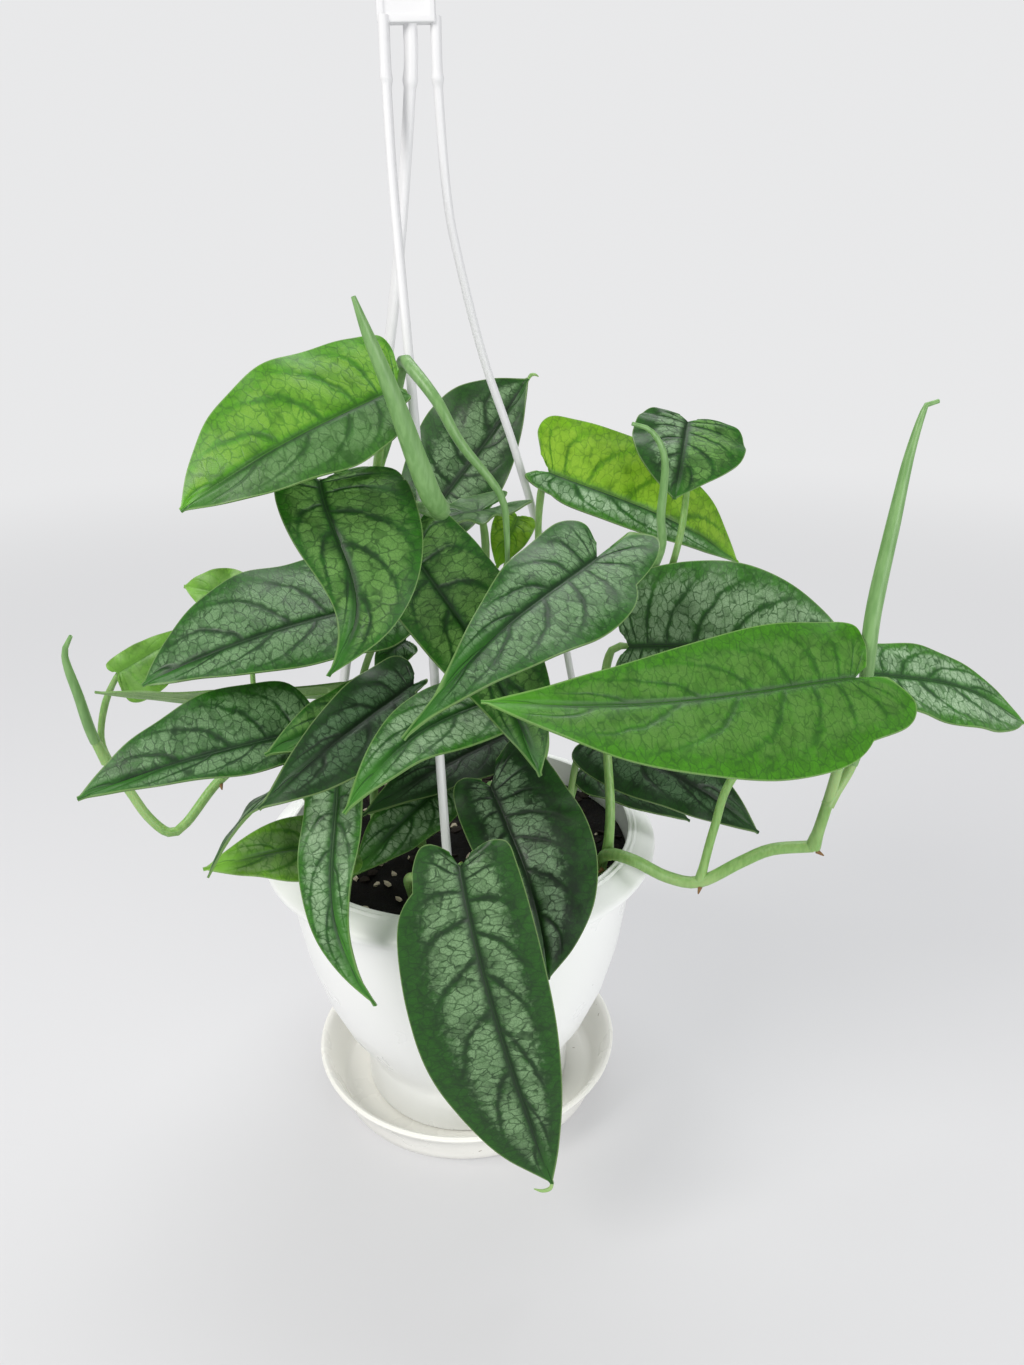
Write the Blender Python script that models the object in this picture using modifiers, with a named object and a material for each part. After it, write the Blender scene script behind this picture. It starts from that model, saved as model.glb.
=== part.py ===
"""A silver-leaved climbing monstera in a white hanging pot that stands on its clip-on saucer.

Run with: blender --background --python part.py
Metres, +Z up. The origin is on the pot's axis, on the surface that the saucer stands on.
+X is to the right and +Y is away from the front of the plant.
"""
import math

import bmesh
import bpy
from mathutils import Vector

MM = 0.001

# Driving sizes, in millimetres
POT_RADIUS = 80.0
POT_TOP = 127.0
POT_WALL = 2.0
POT_FLOOR_Z = 3.0
SAUCER_RADIUS = 65.6
SAUCER_TOP = 20.2
SAUCER_WALL = 1.8
SAUCER_FOOT = 54.0
SAUCER_FLOOR = 2.6
SOIL_TOP = 117.0
FIT_GAP = 0.3
TURN_STEPS = 36

PLATE_BOTTOM = 409.0
PLATE_WIDTH = 18.0
PLATE_HEIGHT = 17.0
PLATE_THICK = 5.0
PLATE_ROUND = 7.0
PLATE_X = -8.0
ARM_RADIUS = 1.9
HOOK_RADIUS = 13.0
HOOK_WIRE = 2.6
HOOK_START = -65.0
HOOK_END = 205.0
HOOK_STEPS = 12

ARM_STEP = 30.0
# How an arm clips on the rim: out from the rim's edge and up from its top
ARM_CLIP = ((-9.0, 2.6), (2.4, -3.4), (1.4, -10.6), (-2.6, -11.6))

BLADE_THICK = 0.8
VEIN_TURN = 0.5
# How a side vein bends on its way out, and how slowly side veins leave the notch
VEIN_BEND = 1.35
RIB_START = 0.55
# A necked blade is this much slimmer at its lobes, and its neck ends at this share of the length
NECK_DEPTH = 0.6
NECK_END = 0.35
# Lobes that close over the stalk do so up to this step of the half outline
LOBE_END = 0.25
# Depth of the rolled-down margins, waves along a margin, and how far the halves' waves are apart
ROLL_DEPTH = 0.4
WAVE_COUNT = 2.2
HALF_SHIFT = 0.37
NOTCH_SHARE = 0.1
STALK_GAP = 0.45
STALK_RADIUS = 1.3
STEM_STEP = 15.0
HOLE_CLEARANCE = 0.6
HOLE_BOTTOM = 98.0
HOLE_TOP = 123.0
STEM_FOOT_Z = 100.0

# Half outline of a blade in even steps from the notch, round the lobe and on to the tip:
# how far along, as a share of the lobe's reach while negative and of the length after it,
# and the half width of an egg-shaped and of a full blade, as a share of the widest
ALONG = (-0.60, -1.00, -0.55, 0.09, 0.29, 0.50, 0.70, 0.87, 1.0)
OVATE = (0.20, 0.58, 0.88, 1.00, 0.97, 0.78, 0.50, 0.21, 0.0)
FULL = (0.17, 0.48, 0.70, 0.85, 0.97, 1.00, 0.82, 0.45, 0.0)
TIP_HALF_WIDTH = 0.6


def leaf(place, base, tip, face, wide, **more):
    """One blade: its petiole end and tip (mm), the way it faces (azimuth and elevation, degrees),
    and its left and right half widths (mm), seen from above with the tip ahead."""
    blade = {"full": (0.2, 0.2), "lobe": (0.07, 0.07), "arch": 3, "sweep": 0, "late": 1.2,
             "fold": (8, 8), "roll": 0.25, "wave": 1.1, "phase": 0.0, "neck": (0, 0), "close": (0, 0),
             "rows": 9, "columns": 3}
    blade.update(more)
    blade.update(name="leaf_" + place, base=base, tip=tip, face=face, wide=wide)
    return blade


LEAVES = (
    leaf("top_left", (-12, -45, 305), (-74, -75, 274), (-85, 35), (17, 27),
         full=(0.4, 0.8), lobe=(0.02, 0.08), arch=5, fold=(5, 0), neck=(0.6, 0)),
    leaf("upper_left", (-37, -52, 278), (-35, -76, 222), (-75, 25), (28, 14),
         full=(0, -0.2), arch=6, sweep=9, late=1.5, fold=(5, 5)),
    leaf("left_silver", (-23, -18, 228), (-103, -50, 209), (-100, 50), (20, 31),
         full=(0.2, 0.9), arch=5, fold=(5, 0)),
    leaf("left_dark", (-42, -47, 192), (-119, -78, 181), (-100, 50), (12, 25),
         full=(0.1, 0.4), arch=4, neck=(0.3, 0.6)),
    leaf("left_edge_on", (-42, -4, 187), (-131, -24, 196), (90, 50), (9, 9),
         full=(0.7, 0.7), arch=-3, fold=(10, 10), wave=0.6, columns=2),
    leaf("left_tip", (-128, -8, 197.5), (-98, 3, 212.5), (-80, 20), (6, 15),
         arch=2, rows=6, columns=2),
    leaf("left_bud_leaf", (-84, 12, 220), (-106, 16, 224), (-95, 25), (9, 11),
         arch=2, rows=6, columns=2),
    leaf("middle_dark", (-12, -42, 205), (-58, -88, 182), (-80, 45), (17, 14),
         full=(0.6, 0), arch=5, neck=(0.8, 0)),
    leaf("middle_small", (-20, -38, 197), (-60, -66, 190), (-90, 50), (13, 13),
         rows=7, columns=2),
    leaf("middle_green", (24, -44, 203), (-28, -106, 190), (-90, 55), (16, 15),
         full=(0, 0.1), arch=4, sweep=-6, neck=(0.6, 0.6)),
    leaf("centre_silver", (51, -40, 249), (-9, -108, 215), (-90, 45), (24, 17),
         full=(-0.2, -0.8), lobe=(0.22, 0.08), arch=3.5, sweep=-3, rows=10, neck=(0.3, 0),
         close=(0.22, 0)),
    leaf("centre_green", (-10, -48, 254), (31, -68, 182), (-65, 35), (23, 18),
         full=(0.6, 0), lobe=(0.1, 0.05), arch=4, sweep=2),
    leaf("back_upright", (-7, 30, 251), (30, 45, 298), (-100, 20), (25, 18),
         full=(1.2, 0.2), arch=-3),
    leaf("curled_edge_on", (12, -8, 258), (-11, -30, 253), (-90, 84), (12, 13),
         full=(0.3, 0.3), lobe=(0.6, 0.6), columns=2),
    leaf("right_lime", (37, 10, 268), (113, 26, 228), (-85, 35), (28, 11.5),
         full=(0.5, 0.3), lobe=(0.10, 0.1), arch=8, fold=(0, 10), neck=(0, 0.2)),
    leaf("right_arched", (88.5, 16, 285), (81, -7, 261), (-90, 45), (23, 20),
         full=(0.2, 0.5), lobe=(0.12, 0.1), arch=3, fold=(-4, 6)),
    leaf("right_silver", (66, -12, 207), (145, -22, 211), (-90, 20), (32, 18),
         full=(0.7, 0.2), arch=5),
    leaf("front_right_large", (132, -68, 216), (13, -98, 222), (-90, 48), (31, 22),
         full=(0.2, 0), lobe=(0.13, 0.06), arch=2, sweep=5, rows=11, neck=(0.22, 0),
         close=(0.15, 0.05)),
    leaf("far_right", (148, -40, 206), (214, -22, 178), (-90, 50), (14, 19),
         full=(0.3, 1.3), arch=2, sweep=5, fold=(5, 20)),
    leaf("low_right_dark", (55, -3, 165), (118, -22, 132), (-90, 50), (17, 17),
         full=(0.3, 0.3), arch=8),
    leaf("low_right_small", (52, 6, 147), (95, 0, 125), (-90, 60), (11, 11),
         rows=6, columns=2),
    leaf("over_rim_dark", (14, -50, 169), (33, -88, 115), (-90, 40), (27, 15),
         full=(0.7, 0.2), lobe=(0.2, 0.08), arch=7, sweep=3),
    leaf("front_hanging", (5, -94, 164), (34, -106, 42), (-92, 15), (21, 28),
         full=(0.5, 0.9), lobe=(0.05, 0.06), arch=4, sweep=-2, late=0.8, rows=11,
         neck=(0, 0.3)),
    leaf("left_hanging", (-37, -66, 179), (-25, -94, 110), (-100, 20), (9, 12),
         full=(-0.5, 0.3), arch=7, sweep=-6, late=1.2),
    leaf("over_soil", (-4, -27, 158), (-38, -48, 131), (-90, 50), (13, 13),
         rows=7, columns=2),
    leaf("low_left_bright", (-38, -55, 150), (-81, -80, 155), (-100, 50), (14, 13),
         rows=7, columns=2),
    leaf("low_left_edge_on", (-52, -64, 182), (-77, -88, 157), (180, 40), (9, 9),
         rows=7, columns=2),
    leaf("under_middle", (22, -14, 173), (-34, -38, 151), (-90, 60), (13, 13),
         rows=7, columns=2),
    leaf("backlit_small", (25, 8, 252), (17, 2, 234), (-90, 30), (8, 8),
         rows=5, columns=2),
    leaf("gap_small", (-18, -3, 207), (-30, -8, 197), (-90, 40), (7, 7),
         rows=5, columns=2),
)

# Stems: a node name, where its foot stands in the soil (mm), and its runs.
# A run is its points, its radii spread evenly along it, and the blade that it carries, if any;
# a run with a blade ends just under the blade's notch.
VINES = (
    ("vine_right", (56, -26), (
        (((56, -26, 119), (58, -33, 130), (67, -41, 132), (80, -40, 124), (92, -42, 123),
          (106, -46, 134), (116, -49, 141), (130, -52, 144)), (2.4, 2.2), None),
        (((58, -31, 127), (59, -28, 146), (58, -20, 168), (57, -12, 190), (60, -8, 204)),
         (2.0, 1.3), "right_silver"),
        (((92, -42, 123), (96, -42, 146), (102, -40, 166), (122, -34, 186), (142, -34, 198)),
         (1.7, 1.3), "far_right"),
        (((130, -52, 144), (131, -55, 156), (133, -56, 170), (135, -58, 192), (134, -61, 207)),
         (2.1, 1.5), "front_right_large"),
        (((132, -56, 163), (141, -52, 180), (141, -53, 205), (140, -54, 226), (141, -53, 240),
          (144, -51, 262), (147, -49, 283), (151, -47, 298), (155, -46, 299)),
         (1.8, 1.8, 1.9, 2.4, 2.4, 2.1, 1.5, 0.5), None),
    )),
    ("vine_left", (-50, 4), (
        (((-50, 4, 119), (-53, 6, 140), (-62, 8, 156), (-80, 6, 157), (-97, 0, 147),
          (-109, -12, 134), (-115, -16, 132), (-122, -17, 140), (-128, -16, 151),
          (-135, -15, 163)), (2.2, 1.8), None),
        (((-135, -15, 163), (-138, -17, 176), (-139, -20, 193), (-140, -23, 210), (-136, -24, 218)),
         (1.8, 1.9, 1.6, 0.5), None),
        (((-134, -15, 161), (-137, -12, 172), (-134, -9, 186)), (1.4, 1.0), "left_tip"),
        (((-80, 6, 157), (-82, 10, 180), (-82, 14, 205)), (1.2, 0.9), "left_bud_leaf"),
    )),
    ("vine_upper_left", (-26, 2), (
        (((-26, 2, 119), (-27, 5, 160), (-29, 6, 210), (-28, 2, 245), (-26, -8, 262)),
         (2.3, 1.8), None),
        (((-26, -8, 262), (-22, -22, 280), (-17, -34, 295)), (1.8, 1.3), "top_left"),
        (((-28, 0, 250), (-33, -16, 262), (-37, -36, 272)), (1.5, 1.2), "upper_left"),
        (((-27, -4, 255), (-22, -20, 261), (-17, -36, 258)), (1.4, 1.2), "centre_green"),
        (((-24, -16, 272), (-17, -25, 290), (-14, -29, 303), (-11, -33, 311.5), (-8, -38, 310),
          (0, -46, 301), (7, -46, 288), (19, -42, 271), (21, -40, 258), (21, -38, 245)),
         (1.4, 1.6, 2.1, 1.9, 1.6, 1.3, 1.0, 0.5), None),
        (((-28, 2, 245), (-22, -16, 262), (-14, -33, 267), (-7, -42, 267), (0, -47, 267),
          (-2, -55, 273), (-6.5, -60, 288), (-12, -66, 307), (-17, -70, 322), (-20, -72, 332)),
         (1.7, 1.7, 1.7, 1.7, 1.7, 3.4, 3.4, 2.9, 2.3, 1.6, 0.5), None),
    )),
    ("vine_upper_right", (30, 22), (
        (((30, 22, 119), (32, 26, 160), (34, 24, 205)), (2.2, 1.8), None),
        (((34, 24, 205), (33, 20, 240), (34, 14, 260)), (1.5, 1.2), "right_lime"),
        (((33, 25, 190), (58, 14, 205), (78, 3, 224), (84.5, 0, 243), (88.5, 11, 264)),
         (1.5, 1.2), "right_arched"),
        (((56, 15, 204), (70, 4, 222), (77, -6, 242), (76, -10, 256), (76, -14, 276),
          (71, -15, 286), (64, -16, 289)), (1.5, 1.6, 1.5, 1.2, 0.5), None),
    )),
    ("vine_centre", (6, 6), (
        (((6, 6, 119), (8, 4, 160), (10, 0, 200)), (2.2, 1.8), None),
        (((10, 0, 200), (13, -5, 240)), (1.5, 1.2), "curled_edge_on"),
        (((10, 0, 198), (0, 18, 225)), (1.5, 1.2), "back_upright"),
        (((9, 2, 182), (28, -12, 214), (45, -30, 240)), (1.6, 1.3), "centre_silver"),
        (((10, 0, 200), (20, 6, 232)), (1.2, 0.9), "backlit_small"),
    )),
    ("vine_left_silver", (-34, -12), (
        (((-34, -12, 119), (-33, -12, 150)), (1.9, 1.7), None),
        (((-33, -12, 150), (-35, -17, 190), (-27, -17, 215)), (1.5, 1.2), "left_silver"),
        (((-33, -12, 148), (-36, -8, 172)), (1.3, 1.0), "left_edge_on"),
        (((-33, -12, 152), (-24, -6, 185)), (1.2, 0.9), "gap_small"),
    )),
    ("vine_left_dark", (-48, -26), (
        (((-48, -26, 119), (-47, -28, 138)), (1.9, 1.7), None),
        (((-47, -28, 138), (-46, -34, 160), (-43, -42, 180)), (1.4, 1.2), "left_dark"),
        (((-47, -28, 136), (-42, -46, 160)), (1.4, 1.2), "left_hanging"),
        (((-48, -27, 128), (-43, -44, 138)), (1.3, 1.0), "low_left_bright"),
        (((-47, -27, 132), (-50, -42, 155), (-52, -56, 172)), (1.3, 1.0), "low_left_edge_on"),
    )),
    ("vine_middle", (-16, -4), (
        (((-16, -4, 119), (-16, -5, 145)), (1.9, 1.7), None),
        (((-16, -5, 145), (-14, -20, 180)), (1.5, 1.2), "middle_dark"),
        (((-16, -5, 140), (-20, -20, 172)), (1.4, 1.1), "middle_small"),
        (((-16, -4, 126), (-10, -14, 142)), (1.3, 1.0), "over_soil"),
    )),
    ("vine_middle_right", (22, -8), (
        (((22, -8, 119), (22, -8, 140)), (2.0, 1.8), None),
        (((22, -8, 140), (34, -18, 165), (32, -28, 190)), (1.5, 1.2), "middle_green"),
        (((22, -8, 138), (26, -8, 158)), (1.4, 1.1), "under_middle"),
    )),
    ("vine_front", (16, -36), (
        (((16, -36, 119), (15, -38, 135)), (1.9, 1.7), None),
        (((15, -38, 135), (15, -36, 155), (14, -40.5, 164)), (1.5, 1.3), "over_rim_dark"),
    )),
    ("vine_front_hanging", (-16, -46), (
        (((-16, -46, 119), (-16, -58, 136), (-9, -78, 150), (2, -90, 158)), (1.8, 1.4),
         "front_hanging"),
    )),
    ("vine_low_right", (42, -4), (
        (((42, -4, 119), (44, -4, 132)), (1.8, 1.6), None),
        (((44, -4, 132), (48, -2, 155)), (1.4, 1.2), "low_right_dark"),
        (((43, -4, 126), (47, 4, 138)), (1.3, 1.0), "low_right_small"),
    )),
)

# Each hanger arm: the azimuth of its clip on the rim, degrees, and its line down to there, mm
ARMS = (
    ("front", -89, ((-15, -1, 411), (-15, -2, 394), (-13.8, -8, 361), (-10, -22, 308),
                    (-6, -37, 245), (-3.4, -51, 184), (-1, -63, 142))),
    ("right", 34, ((1, 1, 411), (1, 1.5, 392), (2.5, 5.4, 361), (5.7, 8.5, 341), (13.5, 13.8, 308),
                   (25.4, 19.6, 271), (40, 28, 215), (54, 36.5, 142))),
    ("back", 150, ((-7, 1, 411), (-8, 2, 392), (-16, 8, 335), (-27, 14, 280), (-44, 25, 200),
                   (-57, 33, 138))),
)


def remove_all_objects():
    for item in list(bpy.data.objects):
        bpy.data.objects.remove(item, do_unlink=True)


def new_collection(name):
    collection = bpy.data.collections.new(name)
    bpy.context.scene.collection.children.link(collection)
    return collection


def material(name, color, roughness, metallic=0.0):
    made = bpy.data.materials.new(name)
    made.use_nodes = True
    shader = made.node_tree.nodes["Principled BSDF"]
    shader.inputs["Base Color"].default_value = (*color, 1.0)
    shader.inputs["Roughness"].default_value = roughness
    shader.inputs["Metallic"].default_value = metallic
    return made


def link_mesh(name, mesh, collection, finish=None):
    item = bpy.data.objects.new(name, mesh)
    collection.objects.link(item)
    if finish:
        mesh.materials.append(finish)
    return item


def smooth_path(points, step):
    """Even points, about a step apart, on a smooth curve through the given ones."""
    ends = [Vector(p) for p in points]
    ends = [2 * ends[0] - ends[1]] + ends + [2 * ends[-1] - ends[-2]]
    path = []
    for before, start, end, after in zip(ends, ends[1:], ends[2:], ends[3:]):
        pieces = max(1, round((end - start).length / step))
        for k in range(pieces):
            f = k / pieces
            path.append(0.5 * (2 * start + (end - before) * f
                               + (2 * before - 5 * start + 4 * end - after) * f * f
                               + (3 * start - before - 3 * end + after) * f ** 3))
    return path + [ends[-2]]


def tube_mesh(name, path, radii, resolution):
    """A closed tube along a path in mm, made from a bevelled curve; its radii spread evenly along."""
    curve = bpy.data.curves.new(name, "CURVE")
    curve.dimensions = "3D"
    curve.bevel_depth = MM
    curve.bevel_resolution = resolution
    curve.use_fill_caps = True
    spline = curve.splines.new("POLY")
    spline.points.add(len(path) - 1)
    for k, (point, place) in enumerate(zip(spline.points, path)):
        spot = k / (len(path) - 1) * (len(radii) - 1)
        before = min(int(spot), len(radii) - 2)
        point.co = (*(Vector(place) * MM), 1.0)
        point.radius = radii[before] + (radii[before + 1] - radii[before]) * (spot - before)
    item = bpy.data.objects.new(name, curve)
    bpy.context.scene.collection.objects.link(item)
    bpy.context.view_layer.update()
    ready = item.evaluated_get(bpy.context.evaluated_depsgraph_get())
    mesh = bpy.data.meshes.new_from_object(ready)
    bpy.data.objects.remove(item, do_unlink=True)
    work = bmesh.new()
    work.from_mesh(mesh)
    bmesh.ops.remove_doubles(work, verts=work.verts, dist=0.00001)
    bmesh.ops.recalc_face_normals(work, faces=work.faces)
    work.to_mesh(mesh)
    work.free()
    return mesh


def union(name, meshes, collection, finish):
    """The meshes joined in one solid by a Boolean union, applied."""
    body = link_mesh(name, meshes[0], collection, finish)
    if len(meshes) > 1:
        rest = new_collection(name + "_joined")
        for k, mesh in enumerate(meshes[1:]):
            link_mesh(f"{name}_run_{k}", mesh, rest)
        join = body.modifiers.new("Union", "BOOLEAN")
        join.operation = "UNION"
        join.operand_type = "COLLECTION"
        join.collection = rest
        join.solver = "EXACT"
        bpy.context.view_layer.update()
        ready = body.evaluated_get(bpy.context.evaluated_depsgraph_get())
        joined = bpy.data.meshes.new_from_object(ready)
        body.modifiers.clear()
        body.data = joined
        for item in list(rest.objects):
            bpy.data.objects.remove(item, do_unlink=True)
        bpy.data.collections.remove(rest)
    body.data.name = name
    return body


def turned(name, profile, collection, finish):
    """A solid of revolution. The profile (radius and height, mm) runs down its outer side."""
    work = bmesh.new()
    row = [work.verts.new((radius * MM, 0.0, height * MM)) for radius, height in profile]
    for a, b in zip(row, row[1:]):
        work.edges.new((a, b))
    mesh = bpy.data.meshes.new(name)
    work.to_mesh(mesh)
    work.free()
    item = link_mesh(name, mesh, collection, finish)
    screw = item.modifiers.new("Screw", "SCREW")
    screw.steps = TURN_STEPS
    screw.render_steps = TURN_STEPS
    screw.use_merge_vertices = True
    screw.merge_threshold = 0.00005
    screw.use_smooth_shade = True
    return item


def pot_outer():
    """The pot's outer side from the top of its inner rim edge down to its foot: radius and height."""
    return ((POT_RADIUS - 10.4, POT_TOP), (POT_RADIUS - 8, POT_TOP - 0.4), (POT_RADIUS - 1.6, POT_TOP - 4),
            (POT_RADIUS, POT_TOP - 5.6), (POT_RADIUS - 0.4, POT_TOP - 8.6), (POT_RADIUS - 1.8, POT_TOP - 9),
            (POT_RADIUS - 7.4, POT_TOP - 8), (71, 110), (69.5, 95), (66.5, 76), (61.5, 57), (55, 41),
            (48.5, 30), (45.5, 24), (44.5, 20), (44.5, POT_FLOOR_Z))


def pot_inner():
    """The pot's inner side from the floor's edge up to the rim: radius and height."""
    floor = POT_FLOOR_Z + POT_WALL
    return ((42.5, floor), (42.5, 22), (47, 32), (53.2, 43), (59.6, 59), (64.4, 77), (67.4, 96),
            (69, 111), (69, POT_TOP - 1))


def make_pot(collection, finish):
    floor = POT_FLOOR_Z + POT_WALL
    profile = ((0, floor), *pot_inner(), *pot_outer(), (0, POT_FLOOR_Z))
    return turned("pot", profile, collection, finish)


def make_saucer(collection, finish):
    wall = SAUCER_WALL
    radius = SAUCER_RADIUS
    top = SAUCER_TOP
    profile = ((0, SAUCER_FLOOR), (SAUCER_FOOT - 1, SAUCER_FLOOR), (SAUCER_FOOT + 2.4, 5),
               (radius - 3.6, top - 2.4), (radius - 2.2, top - 0.6), (radius - 1.0, top),
               (radius, top - 0.8), (radius - 0.4, top - 2.2), (radius - 1.8, top - 3.2),
               (SAUCER_FOOT + 2.4 + wall, 4.2), (SAUCER_FOOT + 2.2, 0.5), (SAUCER_FOOT, 0), (0, 0))
    return turned("saucer", profile, collection, finish)


def make_soil(collection, cutters, finish):
    """The soil fills the pot to below its rim, with a plain hole for each stem."""
    side = [(r - FIT_GAP, z) for r, z in reversed(pot_inner()) if z < SOIL_TOP - 3]
    top_radius = 69 - FIT_GAP
    profile = ((0, SOIL_TOP + 1), (30, SOIL_TOP + 0.6), (58, SOIL_TOP), (top_radius, SOIL_TOP - 1.5),
               *side[:-1], (side[-1][0], POT_FLOOR_Z + POT_WALL + FIT_GAP),
               (0, POT_FLOOR_Z + POT_WALL + FIT_GAP))
    soil = turned("soil", profile, collection, finish)
    for name, (x, y), runs in VINES:
        stem_radius = runs[0][1][0]
        bpy.ops.mesh.primitive_cylinder_add(vertices=12, radius=(stem_radius + HOLE_CLEARANCE) * MM,
                                            depth=(HOLE_TOP - HOLE_BOTTOM) * MM,
                                            location=(x * MM, y * MM, (HOLE_TOP + HOLE_BOTTOM) / 2 * MM))
        cutter = bpy.context.object
        cutter.name = "hole_for_" + name
        cutter.hide_render = True
        cutter.display_type = "WIRE"
        for owner in list(cutter.users_collection):
            owner.objects.unlink(cutter)
        cutters.objects.link(cutter)
    cut = soil.modifiers.new("Stem holes", "BOOLEAN")
    cut.operation = "DIFFERENCE"
    cut.operand_type = "COLLECTION"
    cut.collection = cutters
    cut.solver = "EXACT"
    return soil


def arm_path(azimuth, line):
    """One arm of the hanger: down its line, over the rim and under the rim's lip."""
    turn = math.radians(azimuth)
    away = Vector((math.cos(turn), math.sin(turn), 0))
    clip = [away * (POT_RADIUS + out) + Vector((0, 0, POT_TOP + up)) for out, up in ARM_CLIP]
    return smooth_path(line, ARM_STEP) + clip


def make_hanger(collection, finish):
    """The hanger in one piece: hook, junction plate and three arms that clip on the rim."""
    bpy.ops.mesh.primitive_cube_add(size=1, location=(PLATE_X * MM, 0, (PLATE_BOTTOM + PLATE_HEIGHT / 2) * MM))
    plate = bpy.context.object
    plate.scale = (PLATE_WIDTH * MM, PLATE_THICK * MM, PLATE_HEIGHT * MM)
    bpy.ops.object.transform_apply(location=True, rotation=False, scale=True)
    work = bmesh.new()
    work.from_mesh(plate.data)
    upper = [e for e in work.edges if all(v.co.z > (PLATE_BOTTOM + 1) * MM for v in e.verts)
             and abs(e.verts[0].co.y - e.verts[1].co.y) > MM]
    bmesh.ops.bevel(work, geom=upper, offset=PLATE_ROUND * MM, segments=4, profile=0.5, affect="EDGES")
    work.to_mesh(plate.data)
    work.free()
    plate_mesh = plate.data
    bpy.data.objects.remove(plate, do_unlink=True)
    meshes = [plate_mesh]
    for name, azimuth, line in ARMS:
        meshes.append(tube_mesh("arm_" + name, arm_path(azimuth, line), (ARM_RADIUS, ARM_RADIUS), 1))
    top = PLATE_BOTTOM + PLATE_HEIGHT
    centre = Vector((PLATE_X, 0, top + HOOK_RADIUS + 8))
    neck = [Vector((PLATE_X, 0, top - 3)), Vector((PLATE_X, 0, top + 4))]
    turns = [math.radians(HOOK_START + (HOOK_END - HOOK_START) * k / HOOK_STEPS)
             for k in range(HOOK_STEPS + 1)]
    bend = [centre + HOOK_RADIUS * Vector((math.cos(a), 0, math.sin(a))) for a in turns]
    meshes.append(tube_mesh("hook", neck + bend, (HOOK_WIRE, HOOK_WIRE), 2))
    return union("hanger", meshes, collection, finish)


def curve_value(values, share):
    """A smooth curve through evenly spaced values, read at a share of its length."""
    count = len(values) - 1
    place = min(max(share, 0.0), 1.0) * count
    k = min(int(place), count - 1)
    f = place - k
    start, end = values[k], values[k + 1]
    before = values[k - 1] if k > 0 else 2 * start - end
    after = values[k + 2] if k < count - 1 else 2 * end - start
    return 0.5 * (2 * start + (end - before) * f + (2 * before - 5 * start + 4 * end - after) * f * f
                  + (3 * start - before - 3 * end + after) * f ** 3)


def leaf_axes(blade):
    """The blade's own axes: along the midrib, to its left, and the way its upper side faces."""
    along = (Vector(blade["tip"]) - Vector(blade["base"])).normalized()
    azimuth, elevation = (math.radians(v) for v in blade["face"])
    facing = Vector((math.cos(elevation) * math.cos(azimuth), math.cos(elevation) * math.sin(azimuth),
                     math.sin(elevation)))
    up = (facing - along * facing.dot(along)).normalized()
    return along, up.cross(along), up


def leaf_point(blade, share, across):
    """A point of the blade's middle surface: share runs from the notch to the tip,
    and across from -1 at the right margin to 1 at the left one."""
    along, left, up = leaf_axes(blade)
    base = Vector(blade["base"])
    length = (Vector(blade["tip"]) - base).length
    half_of = 0 if across >= 0 else 1
    side = 1 if across >= 0 else -1
    out = abs(across)
    half = blade["wide"][half_of]
    full = blade["full"][half_of]
    lobe = blade["lobe"][half_of]
    reach = curve_value(ALONG, share)
    margin_s = curve_value([s * lobe if s < 0 else s for s in ALONG], share)
    margin_w = (1 - full) * curve_value(OVATE, share) + full * curve_value(FULL, share)
    if reach < NECK_END:
        margin_w *= 1 - NECK_DEPTH * blade["neck"][half_of] * (1 - max(reach, -0.1) / NECK_END) ** 2
    if share < LOBE_END:
        inward = blade["close"][half_of] * (1 - share / LOBE_END) ** 2
        margin_w -= inward
        margin_s -= inward * lobe
    rib_s = share * share * (RIB_START + (1 - RIB_START) * share)
    s = rib_s + (margin_s - rib_s) * out ** VEIN_BEND
    w = max(half * margin_w, TIP_HALF_WIDTH) * out
    on_rib = min(max(s, 0.0), 1.0)

    def bow(place):
        return math.sin(math.pi * place ** blade["late"])

    after, before = min(on_rib + 0.001, 1.0), max(on_rib - 0.001, 0.0)
    rate = (bow(after) - bow(before)) / ((after - before) * length)
    rise, drift = blade["arch"] * rate, blade["sweep"] * rate
    past = (s - on_rib) * length
    spot = (base + along * (s * length) + up * (blade["arch"] * bow(on_rib) + past * rise)
            + left * (blade["sweep"] * bow(on_rib) + past * drift))
    normal = (up - along * rise).normalized()
    sideways = (left - along * (drift * VEIN_TURN)).normalized()
    fold = math.radians(blade["fold"][half_of])
    r = w / half
    wave = (blade["wave"] * r * r * (1 - on_rib ** 4)
            * math.sin(2 * math.pi * (WAVE_COUNT * on_rib + blade["phase"] + HALF_SHIFT * half_of)))
    height = math.sin(fold) * w - blade["roll"] * half * ROLL_DEPTH * r * r + wave
    return spot + sideways * (side * w * math.cos(fold)) + normal * height


def make_leaf(blade, collection, finish):
    """A blade from a flat grid: each grid row is a side vein from the midrib out to the margin."""
    rows, columns = blade["rows"], blade["columns"]
    work = bmesh.new()
    bmesh.ops.create_grid(work, x_segments=2 * columns, y_segments=rows, size=1.0)
    for vert in work.verts:
        vert.co = leaf_point(blade, (vert.co.y + 1) / 2, vert.co.x) * MM
    bmesh.ops.triangulate(work, faces=work.faces)
    up = leaf_axes(blade)[2]
    total = sum((f.normal * f.calc_area() for f in work.faces), Vector())
    if total.dot(up) < 0:
        bmesh.ops.reverse_faces(work, faces=work.faces)
    mesh = bpy.data.meshes.new(blade["name"])
    work.to_mesh(mesh)
    work.free()
    item = link_mesh(blade["name"], mesh, collection, finish)
    solid = item.modifiers.new("Thickness", "SOLIDIFY")
    solid.thickness = BLADE_THICK * MM
    solid.offset = 0.0
    return item


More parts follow.
